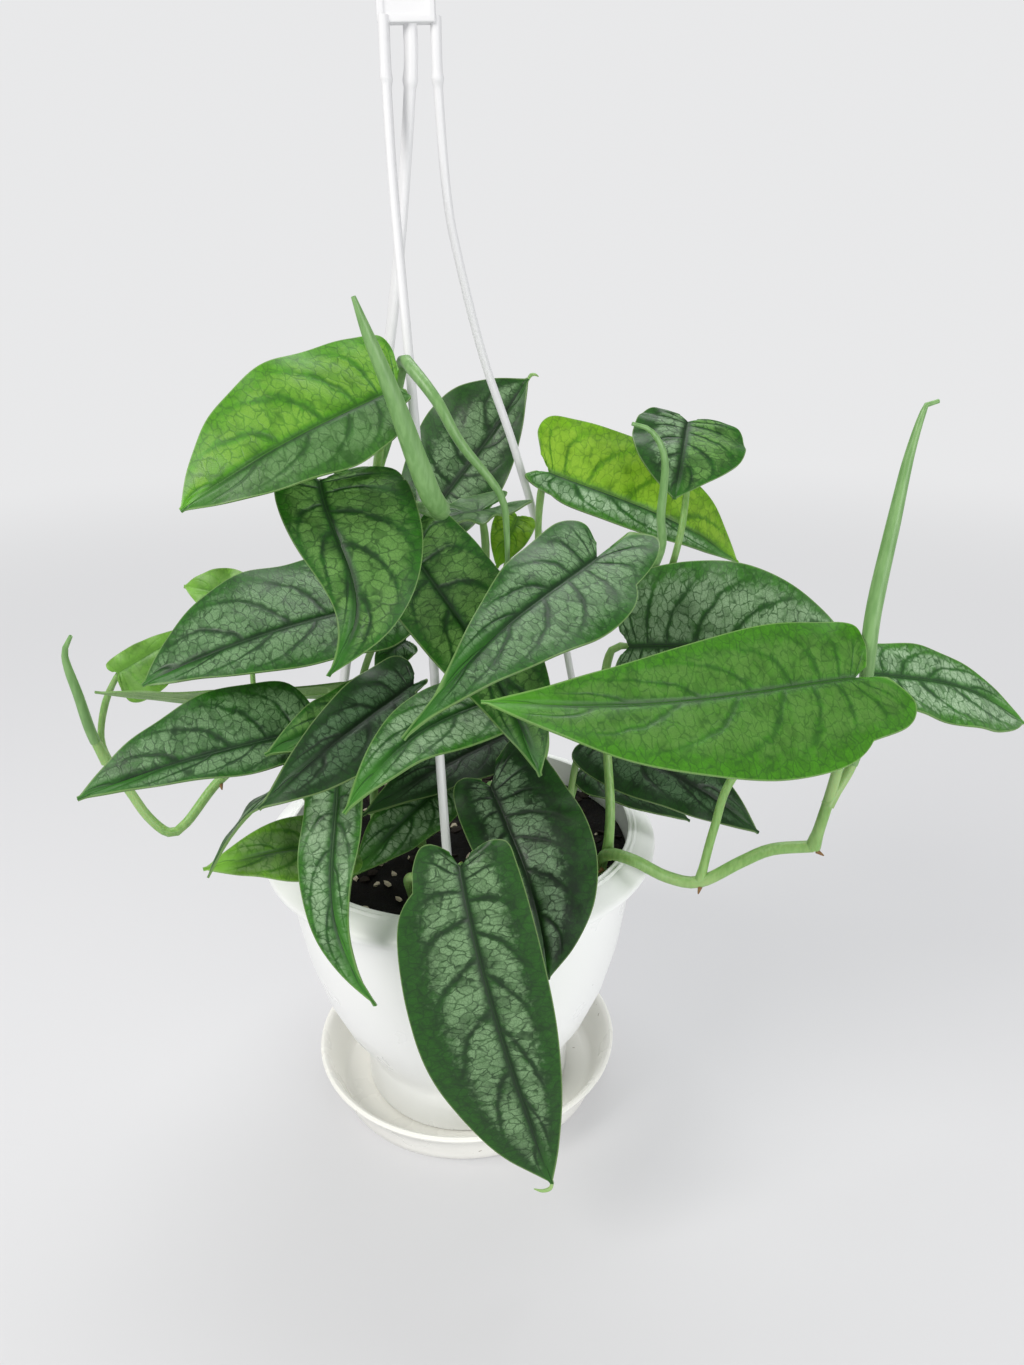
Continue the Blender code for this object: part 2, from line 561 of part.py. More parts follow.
def petiole_end(blade, from_point):
    """Where a stalk that comes from a point stops, just under the blade's notch."""
    base = Vector(blade["base"])
    ahead = leaf_point(blade, NOTCH_SHARE, 0) - base
    up = ahead.cross(leaf_axes(blade)[1]).normalized()
    toward = (base - Vector(from_point)).normalized()
    tilt = math.sqrt(max(0.0, 1 - toward.dot(up) ** 2))
    return base - up * (BLADE_THICK / 2 + STALK_GAP + STALK_RADIUS * tilt)


def make_vine(name, foot, runs, blades, collection, finish):
    """A stem with its stalks and rolled young leaves, joined in one solid."""
    meshes = []
    for k, (points, radii, carries) in enumerate(runs):
        points = [Vector(p) for p in points]
        if k == 0:
            points.insert(0, Vector((*foot, STEM_FOOT_Z)))
        if carries:
            points.append(petiole_end(blades["leaf_" + carries], points[-1]))
        meshes.append(tube_mesh(f"{name}_tube_{k}", smooth_path(points, STEM_STEP), radii, 1))
    return union(name, meshes, collection, finish)


def main():
    remove_all_objects()
    plant = new_collection("potted_monstera")
    cutters = new_collection("cutters")
    white = material("white_plastic", (0.86, 0.87, 0.86), 0.35)
    cream = material("saucer_plastic", (0.84, 0.83, 0.79), 0.4)
    earth = material("potting_soil", (0.02, 0.015, 0.012), 0.95)
    stalk = material("stalk_green", (0.27, 0.42, 0.15), 0.45)
    blade_green = material("blade_green", (0.06, 0.17, 0.05), 0.4)
    make_pot(plant, white)
    make_saucer(plant, cream)
    make_soil(plant, cutters, earth)
    make_hanger(plant, white)
    blades = {blade["name"]: blade for blade in LEAVES}
    for name, foot, runs in VINES:
        make_vine(name, foot, runs, blades, plant, stalk)
    for blade in LEAVES:
        make_leaf(blade, plant, blade_green)


main()
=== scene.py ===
"""Looks of the silver-leaved monstera in its white hanging pot: finer pieces and their finishes.

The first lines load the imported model. Lengths are in millimetres, times MM where a mesh is made.
"""
import math
import random

import bmesh
import bpy
from mathutils import Matrix, Vector, noise


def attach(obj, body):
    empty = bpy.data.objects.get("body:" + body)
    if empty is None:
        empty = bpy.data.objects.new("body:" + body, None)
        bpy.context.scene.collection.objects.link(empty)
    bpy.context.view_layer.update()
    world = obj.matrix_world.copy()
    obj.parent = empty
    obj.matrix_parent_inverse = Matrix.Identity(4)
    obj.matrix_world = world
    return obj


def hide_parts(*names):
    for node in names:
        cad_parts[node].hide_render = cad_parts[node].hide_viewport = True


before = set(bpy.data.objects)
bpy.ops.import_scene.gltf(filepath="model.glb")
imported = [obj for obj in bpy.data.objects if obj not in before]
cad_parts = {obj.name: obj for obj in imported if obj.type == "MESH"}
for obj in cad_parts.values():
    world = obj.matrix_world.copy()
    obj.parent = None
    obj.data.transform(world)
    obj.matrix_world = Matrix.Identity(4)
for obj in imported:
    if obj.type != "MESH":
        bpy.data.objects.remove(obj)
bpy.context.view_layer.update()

MM = 0.001

# Photograph's viewpoint
CAMERA_PLACE = (0.0221, -0.3715, 0.3397)
CAMERA_DOWN = 22.21
CAMERA_ROLL = -0.71
CAMERA_LENS = 27.03
CAMERA_FILM = 36.0

# Pot, saucer and soil
POT_TOP = 127.0
POT_OUTSIDE = ((69.0, 125.4), (69.1, 126.8), (69.7, 127.2), (70.3, 126.9), (70.7, 126.6), (71.2, 126.8),
               (71.7, 126.9), (72.2, 126.5), (72.6, 126.1), (73.1, 126.1), (75.2, 125.0), (77.6, 123.6),
               (79.2, 122.5), (79.9, 121.6), (80.1, 120.4), (79.8, 119.2), (79.2, 118.6), (78.4, 118.5),
               (75.6, 118.9), (73.2, 119.1), (72.4, 118.6), (72.0, 117.0), (71.6, 114.0), (71.0, 110.0),
               (69.5, 95.0), (66.5, 76.0), (61.5, 57.0), (55.0, 41.0), (48.5, 30.0), (45.6, 24.0),
               (44.6, 20.0), (44.6, 4.2), (44.0, 3.2), (42.8, 3.0))
POT_INSIDE = ((42.5, 5.0), (42.5, 22.0), (47.0, 32.0), (53.2, 43.0), (59.6, 59.0), (64.4, 77.0), (67.2, 96.0),
              (68.6, 111.0), (69.0, 120.0))
SAUCER_OUTSIDE = ((61.8, 17.6), (62.6, 18.9), (63.4, 19.8), (64.4, 20.2), (65.2, 19.9), (65.6, 19.2),
                  (65.4, 18.3), (64.7, 17.7), (63.6, 16.8), (60.8, 10.4), (58.2, 4.2), (57.4, 1.6),
                  (56.2, 0.5), (54.0, 0.0))
SAUCER_INSIDE = ((53.0, 2.6), (55.2, 3.4), (56.6, 5.2), (59.0, 10.8))
SOIL_TOP = 117.0
SOIL_SIDE = ((42.0, 5.4), (42.0, 22.4), (46.4, 32.0), (52.6, 43.0), (59.0, 59.0), (63.8, 77.0), (66.6, 96.0),
             (68.2, 111.0), (68.6, 115.6))
TURN_STEPS = 128
# The soil's lumps end at its edge and fade over the mm before it; crumbs lie within their radius
SOIL_EDGE = 68
LUMP_FADE = 6
CRUMB_RADIUS = 66

# Hanger
PLATE_BOTTOM = 409.0
PLATE_WIDTH = 18.0
PLATE_HEIGHT = 17.0
PLATE_THICK = 5.0
PLATE_X = -8.0
PLATE_ROUND = 7.0
# Its sunken panel: how wide the frame round it, its slope and its depth are
PANEL_FRAME = 2.0
PANEL_SLOPE = 0.5
PANEL_DEPTH = 0.7
ARM_WIDE = 2.0
ARM_DEEP = 1.5
KNUCKLE_Z = 394.0
# Share by which an arm is thicker at its knuckle, above it and where it bends over the rim
KNUCKLE = 0.30
ABOVE_KNUCKLE = 0.14
RIM_BEND = 0.2
# How an arm clips on the rim: out from the rim's edge and up from its top
ARM_CLIP = ((-9.0, 2.6), (2.4, -3.4), (1.4, -10.6), (-2.6, -11.6))
POT_RADIUS = 80.0
HOOK_RADIUS = 13.0
HOOK_NECK = 8
HOOK_WIRE = 2.6
HOOK_START = -65.0
HOOK_END = 205.0
HOOK_STEPS = 40

# Stems
STEM_STEP = 3.0
STEM_FOOT_Z = 100.0
# A stalk ends this far under its blade: at the notch, and this share of the way along the midrib
STALK_SHARE = 0.22
UNDER_NOTCH = 1.9
UNDER_RIB = 1.35
# Share by which a stalk is thicker just before its blade and where it leaves its stem
KNEE = 0.2
KNOT = 0.3
SCAR_RADII = (1.0, 0.7, 0.5, 0.2)

# Room
BACKDROP = (0.81, 0.812, 0.82)
FLOOR_TONE = (0.42, 0.42, 0.425)
FLOOR_GLOW = (0.27, 0.27, 0.278)
ROOM_TONE = (0.98, 0.99, 1.0)
ROOM_LIGHT = 0.45
# Lamps: name, place and target in metres, width in metres, power in watts, and colour
LAMPS = (
    ("window", (-0.75, -0.65, 1.05), (0, 0, 0.2), 0.7, 11.5, (1.0, 0.98, 0.95)),
    ("sky", (0.1, 0.5, 1.25), (0, 0, 0.2), 0.9, 8.0, (0.98, 0.99, 1.0)),
    ("fill", (0.7, -1.0, 0.30), (0, 0, 0.10), 0.8, 7.0, (1, 1, 1)),
)

# Form of a blade, in shares of its length, of its half width or of one turn
RIB_START = 0.55
VEIN_BEND = 1.35
VEIN_TURN = 0.5
VEIN_FORWARD = 0.9
NECK_DEPTH = 0.6
NECK_START = -0.1
NECK_END = 0.35
LOBE_END = 0.25
ROLL_DEPTH = 0.1
WAVE_COUNT = 2.2
HALF_SHIFT = 0.37
EDGE_SLOPE = 0.6
# How far each blade's pattern and wave are shifted from those of the blade before
SEED_STEP = 0.73
PHASE_STEP = 0.31

# Fine blades: rows from notch to tip and columns from midrib to margin, a small blade with half
# of both, and their thickness and relief in mm
BLADE_ROWS = 84
BLADE_COLUMNS = 18
BLADE_THICK = 0.7
FULL_RELIEF_HALF = 20
QUILT = 0.4
RIB_GROOVE = 0.55
RIB_GROOVE_HALF = 1.2
MARGIN_RIPPLE = 0.45
RIPPLE_COUNT = 5.3
UNEVENNESS = 0.8
RIDGE_STEPS = 18

# A blade's maps count in units of this many mm, and lie this far apart from blade to blade
UV_UNIT = 100.0
MAP_START = 0.3
MAP_STEP = 0.37
# Net of veins: cells in one unit of the map, how they are drawn out, and how crooked the lines are
NET_SCALE = 33.0
SMALL_NET_SCALE = 80.0
BACK_NET_SCALE = 50.0
NET_STRETCH = (0.72, 1.15, 1.0)
NET_WOBBLE = (0.020, 0.020, 0.0)
VEIN_WOBBLE = 0.34
# Lines: full up to the first measure and gone at the second. Those of the midrib and the margin
# are in mm, a side vein's in steps to the next one, and the net's in cells
NET_LINE = (0.0, 0.11)
SIDE_VEIN = (0.01, 0.10)
RIB_LINE = (0.3, 1.6)
RIM_LINE = (0.08, 0.3)
# Panels: none up to the first measure and full from the second, in mm from the midrib and in steps
# from a side vein; they fade over this share of the half width before their reach
PANEL_FROM_RIB = (1.7, 4.2)
PANEL_FROM_VEIN = (0.19, 0.35)
PANEL_FADE = 0.22
# Seen colours of a blade's thin rim, its pale specks and its under side
RIM_COLOR = (140, 168, 104)
SPECK_COLOR = (190, 205, 160)
BACK_COLORS = ((84, 126, 64), (148, 182, 116))

# Half outline of a blade in even steps from the notch, round the lobe and on to the tip:
# how far along, as a share of the lobe's reach while negative and of the length after it,
# and the half width of an egg-shaped and of a full blade, as a share of the widest
ALONG = (-0.60, -1.00, -0.55, 0.09, 0.29, 0.50, 0.70, 0.87, 1.0)
OVATE = (0.20, 0.58, 0.88, 1.00, 0.97, 0.78, 0.50, 0.21, 0.0)
FULL = (0.17, 0.48, 0.70, 0.85, 0.97, 1.00, 0.82, 0.45, 0.0)
TIP_HALF_WIDTH = 0.6


def leaf(place, base, tip, face, wide, **more):
    """One blade: its petiole end and tip (mm), the way it faces (azimuth and elevation, degrees),
    and its left and right half widths (mm), seen from above with the tip ahead."""
    blade = {"full": (0.2, 0.2), "lobe": (0.07, 0.07), "arch": 3, "sweep": 0, "late": 1.2,
             "fold": (8, 8), "wave": 1.1, "neck": (0, 0), "close": (0, 0), "small": False}
    blade.update(more, place=place, base=base, tip=tip, face=face, wide=wide)
    return blade


LEAVES = (
    leaf("top_left", (-12, -45, 305), (-74, -75, 274), (-85, 35), (17, 27),
         full=(0.4, 0.8), lobe=(0.02, 0.08), arch=5, fold=(5, 0), neck=(0.6, 0)),
    leaf("upper_left", (-37, -52, 278), (-35, -76, 222), (-75, 25), (28, 14),
         full=(0, -0.2), arch=6, sweep=9, late=1.5, fold=(5, 5)),
    leaf("left_silver", (-23, -18, 228), (-103, -50, 209), (-100, 50), (20, 31),
         full=(0.2, 0.9), arch=5, fold=(5, 0)),
    leaf("left_dark", (-42, -47, 192), (-119, -78, 181), (-100, 50), (12, 25),
         full=(0.1, 0.4), arch=4, neck=(0.3, 0.6)),
    leaf("left_edge_on", (-42, -4, 187), (-131, -24, 196), (90, 50), (9, 9),
         full=(0.7, 0.7), arch=-3, fold=(10, 10), wave=0.6),
    leaf("left_tip", (-128, -8, 197.5), (-98, 3, 212.5), (-80, 20), (6, 15),
         arch=2, small=True),
    leaf("left_bud_leaf", (-84, 12, 220), (-106, 16, 224), (-95, 25), (9, 11),
         arch=2, small=True),
    leaf("middle_dark", (-12, -42, 205), (-58, -88, 182), (-80, 45), (17, 14),
         full=(0.6, 0), arch=5, neck=(0.8, 0)),
    leaf("middle_small", (-20, -38, 197), (-60, -66, 190), (-90, 50), (13, 13), small=True),
    leaf("middle_green", (24, -44, 203), (-28, -106, 190), (-90, 55), (16, 15),
         full=(0, 0.1), arch=4, sweep=-6, neck=(0.6, 0.6)),
    leaf("centre_silver", (51, -40, 249), (-9, -108, 215), (-90, 45), (24, 17),
         full=(-0.2, -0.8), lobe=(0.22, 0.08), arch=3.5, sweep=-3, neck=(0.3, 0), close=(0.22, 0)),
    leaf("centre_green", (-10, -48, 254), (31, -68, 182), (-65, 35), (23, 18),
         full=(0.6, 0), lobe=(0.1, 0.05), arch=4, sweep=2),
    leaf("back_upright", (-7, 30, 251), (30, 45, 298), (-100, 20), (25, 18),
         full=(1.2, 0.2), arch=-3),
    leaf("curled_edge_on", (12, -8, 258), (-11, -30, 253), (-90, 84), (12, 13),
         full=(0.3, 0.3), lobe=(0.6, 0.6)),
    leaf("right_lime", (37, 10, 268), (113, 26, 228), (-85, 35), (28, 11.5),
         full=(0.5, 0.3), lobe=(0.10, 0.1), arch=8, fold=(0, 10), neck=(0, 0.2)),
    leaf("right_arched", (88.5, 16, 285), (81, -7, 261), (-90, 45), (23, 20),
         full=(0.2, 0.5), lobe=(0.12, 0.1), fold=(-4, 6)),
    leaf("right_silver", (66, -12, 207), (145, -22, 211), (-90, 20), (32, 18),
         full=(0.7, 0.2), arch=5),
    leaf("front_right_large", (132, -68, 216), (13, -98, 222), (-90, 48), (31, 22),
         full=(0.2, 0), lobe=(0.13, 0.06), arch=2, sweep=5, neck=(0.22, 0), close=(0.15, 0.05)),
    leaf("far_right", (148, -40, 206), (214, -22, 178), (-90, 50), (14, 19),
         full=(0.3, 1.3), arch=2, sweep=5, fold=(5, 20)),
    leaf("low_right_dark", (55, -3, 165), (118, -22, 132), (-90, 50), (17, 17),
         full=(0.3, 0.3), arch=8),
    leaf("low_right_small", (52, 6, 147), (95, 0, 125), (-90, 60), (11, 11), small=True),
    leaf("over_rim_dark", (14, -50, 169), (33, -88, 115), (-90, 40), (27, 15),
         full=(0.7, 0.2), lobe=(0.2, 0.08), arch=7, sweep=3),
    leaf("front_hanging", (5, -94, 164), (34, -106, 42), (-92, 15), (21, 28),
         full=(0.5, 0.9), lobe=(0.05, 0.06), arch=4, sweep=-2, late=0.8,
         neck=(0, 0.3)),
    leaf("left_hanging", (-37, -66, 179), (-25, -94, 110), (-100, 20), (9, 12),
         full=(-0.5, 0.3), arch=7, sweep=-6),
    leaf("over_soil", (-4, -27, 158), (-38, -48, 131), (-90, 50), (13, 13), small=True),
    leaf("low_left_bright", (-38, -55, 150), (-81, -80, 155), (-100, 50), (14, 13), small=True),
    leaf("low_left_edge_on", (-52, -64, 182), (-77, -88, 157), (180, 40), (9, 9), small=True),
    leaf("under_middle", (22, -14, 173), (-34, -38, 151), (-90, 60), (13, 13), small=True),
    leaf("backlit_small", (25, 8, 252), (17, 2, 234), (-90, 30), (8, 8), small=True),
    leaf("gap_small", (-18, -3, 207), (-30, -8, 197), (-90, 40), (7, 7), small=True),
)

# Stems: a node name and its runs. A run is its points (mm), its radii spread evenly along it, and
# the blade that it carries, if any; a run with a blade ends just under the blade's notch. The first
# run starts on the soil, over the stem's foot.
VINES = (
    ("vine_right", (
        (((56, -26, 119), (58, -33, 130), (67, -41, 132), (80, -40, 124), (92, -42, 123),
          (106, -46, 134), (116, -49, 141), (130, -52, 144)), (2.4, 2.2)),
        (((58, -31, 127), (59, -28, 146), (58, -20, 168), (57, -12, 190), (60, -8, 204)),
         (2.0, 1.3), "right_silver"),
        (((92, -42, 123), (96, -42, 146), (102, -40, 166), (122, -34, 186), (142, -34, 198)),
         (1.7, 1.3), "far_right"),
        (((130, -52, 144), (131, -55, 156), (133, -56, 170), (135, -58, 192), (134, -61, 207)),
         (2.1, 1.5), "front_right_large"),
        (((132, -56, 163), (141, -52, 180), (141, -53, 205), (140, -54, 226), (141, -53, 240),
          (144, -51, 262), (147, -49, 283), (151, -47, 298), (155, -46, 299)),
         (1.8, 1.8, 1.9, 2.4, 2.4, 2.1, 1.5, 0.5)),
    )),
    ("vine_left", (
        (((-50, 4, 119), (-53, 6, 140), (-62, 8, 156), (-80, 6, 157), (-97, 0, 147),
          (-109, -12, 134), (-115, -16, 132), (-122, -17, 140), (-128, -16, 151),
          (-135, -15, 163)), (2.2, 1.8)),
        (((-135, -15, 163), (-138, -17, 176), (-139, -20, 193), (-140, -23, 210), (-136, -24, 218)),
         (1.8, 1.9, 1.6, 0.5)),
        (((-134, -15, 161), (-137, -12, 172), (-134, -9, 186)), (1.4, 1.0), "left_tip"),
        (((-80, 6, 157), (-82, 10, 180), (-82, 14, 205)), (1.2, 0.9), "left_bud_leaf"),
    )),
    ("vine_upper_left", (
        (((-26, 2, 119), (-27, 5, 160), (-29, 6, 210), (-28, 2, 245), (-26, -8, 262)),
         (2.3, 1.8)),
        (((-26, -8, 262), (-22, -22, 280), (-17, -34, 295)), (1.8, 1.3), "top_left"),
        (((-28, 0, 250), (-33, -16, 262), (-37, -36, 272)), (1.5, 1.2), "upper_left"),
        (((-27, -4, 255), (-22, -20, 261), (-17, -36, 258)), (1.4, 1.2), "centre_green"),
        (((-24, -16, 272), (-17, -25, 290), (-14, -29, 303), (-11, -33, 311.5), (-8, -38, 310),
          (0, -46, 301), (7, -46, 288), (19, -42, 271), (21, -40, 258), (21, -38, 245)),
         (1.4, 1.6, 2.1, 1.9, 1.6, 1.3, 1.0, 0.5)),
        (((-28, 2, 245), (-22, -16, 262), (-14, -33, 267), (-7, -42, 267), (0, -47, 267),
          (-2, -55, 273), (-6.5, -60, 288), (-12, -66, 307), (-17, -70, 322), (-20, -72, 332)),
         (1.7, 1.7, 1.7, 1.7, 1.7, 3.4, 3.4, 2.9, 2.3, 1.6, 0.5)),
    )),
    ("vine_upper_right", (
        (((30, 22, 119), (32, 26, 160), (34, 24, 205)), (2.2, 1.8)),
        (((34, 24, 205), (33, 20, 240), (34, 14, 260)), (1.5, 1.2), "right_lime"),
        (((33, 25, 190), (58, 14, 205), (78, 3, 224), (84.5, 0, 243), (88.5, 11, 264)),
         (1.5, 1.2), "right_arched"),
        (((56, 15, 204), (70, 4, 222), (77, -6, 242), (76, -10, 256), (76, -14, 276),
          (71, -15, 286), (64, -16, 289)), (1.5, 1.6, 1.5, 1.2, 0.5)),
    )),
    ("vine_centre", (
        (((6, 6, 119), (8, 4, 160), (10, 0, 200)), (2.2, 1.8)),
        (((10, 0, 200), (13, -5, 240)), (1.5, 1.2), "curled_edge_on"),
        (((10, 0, 198), (0, 18, 225)), (1.5, 1.2), "back_upright"),
        (((9, 2, 182), (28, -12, 214), (45, -30, 240)), (1.6, 1.3), "centre_silver"),
        (((10, 0, 200), (20, 6, 232)), (1.2, 0.9), "backlit_small"),
    )),
    ("vine_left_silver", (
        (((-34, -12, 119), (-33, -12, 150)), (1.9, 1.7)),
        (((-33, -12, 150), (-35, -17, 190), (-27, -17, 215)), (1.5, 1.2), "left_silver"),
        (((-33, -12, 148), (-36, -8, 172)), (1.3, 1.0), "left_edge_on"),
        (((-33, -12, 152), (-24, -6, 185)), (1.2, 0.9), "gap_small"),
    )),
    ("vine_left_dark", (
        (((-48, -26, 119), (-47, -28, 138)), (1.9, 1.7)),
        (((-47, -28, 138), (-46, -34, 160), (-43, -42, 180)), (1.4, 1.2), "left_dark"),
        (((-47, -28, 136), (-42, -46, 160)), (1.4, 1.2), "left_hanging"),
        (((-48, -27, 128), (-43, -44, 138)), (1.3, 1.0), "low_left_bright"),
        (((-47, -27, 132), (-50, -42, 155), (-52, -56, 172)), (1.3, 1.0), "low_left_edge_on"),
    )),
    ("vine_middle", (
        (((-16, -4, 119), (-16, -5, 145)), (1.9, 1.7)),
        (((-16, -5, 145), (-14, -20, 180)), (1.5, 1.2), "middle_dark"),
        (((-16, -5, 140), (-20, -20, 172)), (1.4, 1.1), "middle_small"),
        (((-16, -4, 126), (-10, -14, 142)), (1.3, 1.0), "over_soil"),
    )),
    ("vine_middle_right", (
        (((22, -8, 119), (22, -8, 140)), (2.0, 1.8)),
        (((22, -8, 140), (34, -18, 165), (32, -28, 190)), (1.5, 1.2), "middle_green"),
        (((22, -8, 138), (26, -8, 158)), (1.4, 1.1), "under_middle"),
    )),
    ("vine_front", (
        (((16, -36, 119), (15, -38, 135)), (1.9, 1.7)),
        (((15, -38, 135), (15, -36, 155), (14, -40.5, 164)), (1.5, 1.3), "over_rim_dark"),
    )),
    ("vine_front_hanging", (
        (((-16, -46, 119), (-16, -58, 136), (-9, -78, 150), (2, -90, 158)), (1.8, 1.4),
         "front_hanging"),
    )),
    ("vine_low_right", (
        (((42, -4, 119), (44, -4, 132)), (1.8, 1.6)),
        (((44, -4, 132), (48, -2, 155)), (1.4, 1.2), "low_right_dark"),
        (((43, -4, 126), (47, 4, 138)), (1.3, 1.0), "low_right_small"),
    )),
)

# Each hanger arm: the azimuth of its clip on the rim, degrees, and its line down to there, mm
ARMS = (
    ("front", -89, ((-15, -1, 411), (-15, -2, 394), (-13.8, -8, 361), (-10, -22, 308),
                    (-6, -37, 245), (-3.4, -51, 184), (-1, -63, 142))),
    ("right", 34, ((1, 1, 411), (1, 1.5, 392), (2.5, 5.4, 361), (5.7, 8.5, 341), (13.5, 13.8, 308),
                   (25.4, 19.6, 271), (40, 28, 215), (54, 36.5, 142))),
    ("back", 150, ((-7, 1, 411), (-8, 2, 392), (-16, 8, 335), (-27, 14, 280), (-44, 25, 200),
                   (-57, 33, 138))),
)

# Blade finishes: seen colours of panels, flesh, veins and margin, and settings of blade_face; a few tones are
# painted sheen, backlight or shade, as marked
FACES = {
    "silver": (((98, 132, 89), (23, 62, 16), (13, 38, 15), (32, 84, 13)), {}),
    "pale": (((130, 160, 121), (35, 80, 25), (19, 48, 19), (45, 100, 22)), {}),
    "deep": (((108, 140, 98), (22, 58, 15), (13, 36, 13), (28, 74, 12)), {"reach": 0.8}),
    # Painted shade: a darker silver for blades that lie in the shade of others
    "dark": (((76, 108, 73), (13, 42, 11), (8, 26, 9), (19, 58, 10)), {"reach": 0.84, "cover": 0.85}),
    # Painted sheen: a paler silver standing in for the bright satin reflection that these blades and halves
    # show
    "sheen": (((150, 178, 142), (44, 94, 33), (24, 58, 24), (58, 112, 31)), {}),
    "night": (((112, 142, 106), (12, 38, 11), (8, 25, 9), (22, 64, 10)), {"reach": 0.7, "cover": 0.85}),
    "green": (((98, 142, 68), (25, 68, 14), (15, 41, 14), (34, 88, 12)), {"cover": 0.85, "soft": 0.15}),
    "bright": (((82, 124, 50), (44, 93, 18), (27, 64, 18), (55, 113, 12)),
               {"cover": 0.75, "soft": 0.25, "fine": 0.3, "reach": 0.92}),
    "lime": (((108, 154, 46), (56, 114, 14), (34, 76, 17), (70, 130, 13)),
             {"cover": 0.85, "soft": 0.2, "fine": 0.3}),
    # Lime with painted backlight: brighter than the lime tone, standing in for light shining through backlit
    # blades
    "glow": (((136, 176, 46), (84, 134, 14), (44, 86, 18), (104, 154, 15)),
             {"cover": 0.85, "soft": 0.4, "fine": 0.3}),
    "sage": (((94, 130, 78), (40, 82, 26), (26, 58, 20), (48, 96, 25)), {"cover": 0.85, "soft": 0.15}),
    "spring": (((132, 158, 106), (72, 118, 42), (42, 84, 30), (98, 146, 44)),
               {"cover": 0.8, "soft": 0.2, "fine": 0.3}),
    "young": (((116, 156, 78), (92, 142, 50), (74, 122, 44), (104, 152, 54)),
              {"cover": 0.5, "soft": 0.8, "fine": 0.1}),
}

# Finish of each blade, or of its left and right halves; the others are silver. Where a blade or half gets the
# painted sheen, painted backlight or dark tone, light or shade is painted into its colour
TONES = {
    "top_left": ("sage", "lime"), "right_lime": ("glow", "sheen"), "right_arched": ("green", "deep"),
    "left_tip": "young", "left_bud_leaf": "young", "backlit_small": "glow", "low_left_bright": "spring",
    "middle_small": "green", "upper_left": "green", "centre_green": "green", "middle_green": "pale",
    "front_right_large": "bright", "front_hanging": "deep", "middle_dark": "dark", "over_soil": "sheen",
    "over_rim_dark": "night", "left_edge_on": "sage", "under_middle": "dark", "low_right_small": "dark",
    "low_right_dark": "dark", "back_upright": "deep", "left_hanging": "pale", "low_left_edge_on": "deep",
    "curled_edge_on": "sage", "far_right": "sheen", "right_silver": "pale",
}
# Thin drip tips that run on from a blade's end, mm
TIP_THREADS = {
    "front_hanging": ((33.2, -106.6, 40.2), (30.5, -107.0, 39.6), (27.6, -107.0, 40.6)),
    "back_upright": ((31.0, 45.0, 299.4), (32.6, 45.0, 299.6), (34.0, 45.0, 298.8)),
}
# Small brown scars on a stem's knees: from and to, mm
SCARS = {
    "vine_right": (((92.0, -43.4, 121.6), (91.2, -44.6, 119.2)),
                   ((131.2, -53.0, 142.6), (133.6, -54.0, 141.2)),
                   ((56.2, -33.0, 123.4), (54.2, -34.4, 122.4))),
    "vine_left": (((-96.6, -1.4, 145.6), (-96.0, -2.6, 143.6)),
                  ((-134.6, -16.4, 162.0), (-136.6, -17.2, 161.0))),
}
# How many side veins a half blade has, where it isn't six
SIDE_VEINS = {"front_right_large": 9, "front_hanging": 8, "centre_silver": 8, "left_silver": 8,
              "top_left": 7, "right_silver": 8, "over_rim_dark": 8, "left_dark": 8}


def only(item):
    bpy.ops.object.select_all(action="DESELECT")
    item.select_set(True)
    bpy.context.view_layer.objects.active = item


def take(name):
    """The object that an operator has just added, under its own name."""
    item = bpy.context.object
    item.name = item.data.name = name
    return item


def put(name, data):
    """A new object in the scene."""
    item = bpy.data.objects.new(name, data)
    bpy.context.scene.collection.objects.link(item)
    return item


def place_in_mesh(item):
    only(item)
    bpy.ops.object.transform_apply(location=True, rotation=True, scale=True)


def apply_all(item):
    only(item)
    for modifier in list(item.modifiers):
        bpy.ops.object.modifier_apply(modifier=modifier.name)


def join(name, items):
    only(items[0])
    for item in items[1:]:
        item.select_set(True)
    bpy.ops.object.join()
    return take(name)


def smooth(item, degrees):
    only(item)
    bpy.ops.object.shade_smooth_by_angle(angle=math.radians(degrees))


def finish(item, *materials):
    item.data.materials.clear()
    for material in materials:
        item.data.materials.append(material)


def thicken(item, thick):
    """Gives a sheet its thickness in mm, half on either side."""
    solid = item.modifiers.new("Thickness", "SOLIDIFY")
    solid.thickness = thick * MM
    solid.offset = 0.0
    return solid


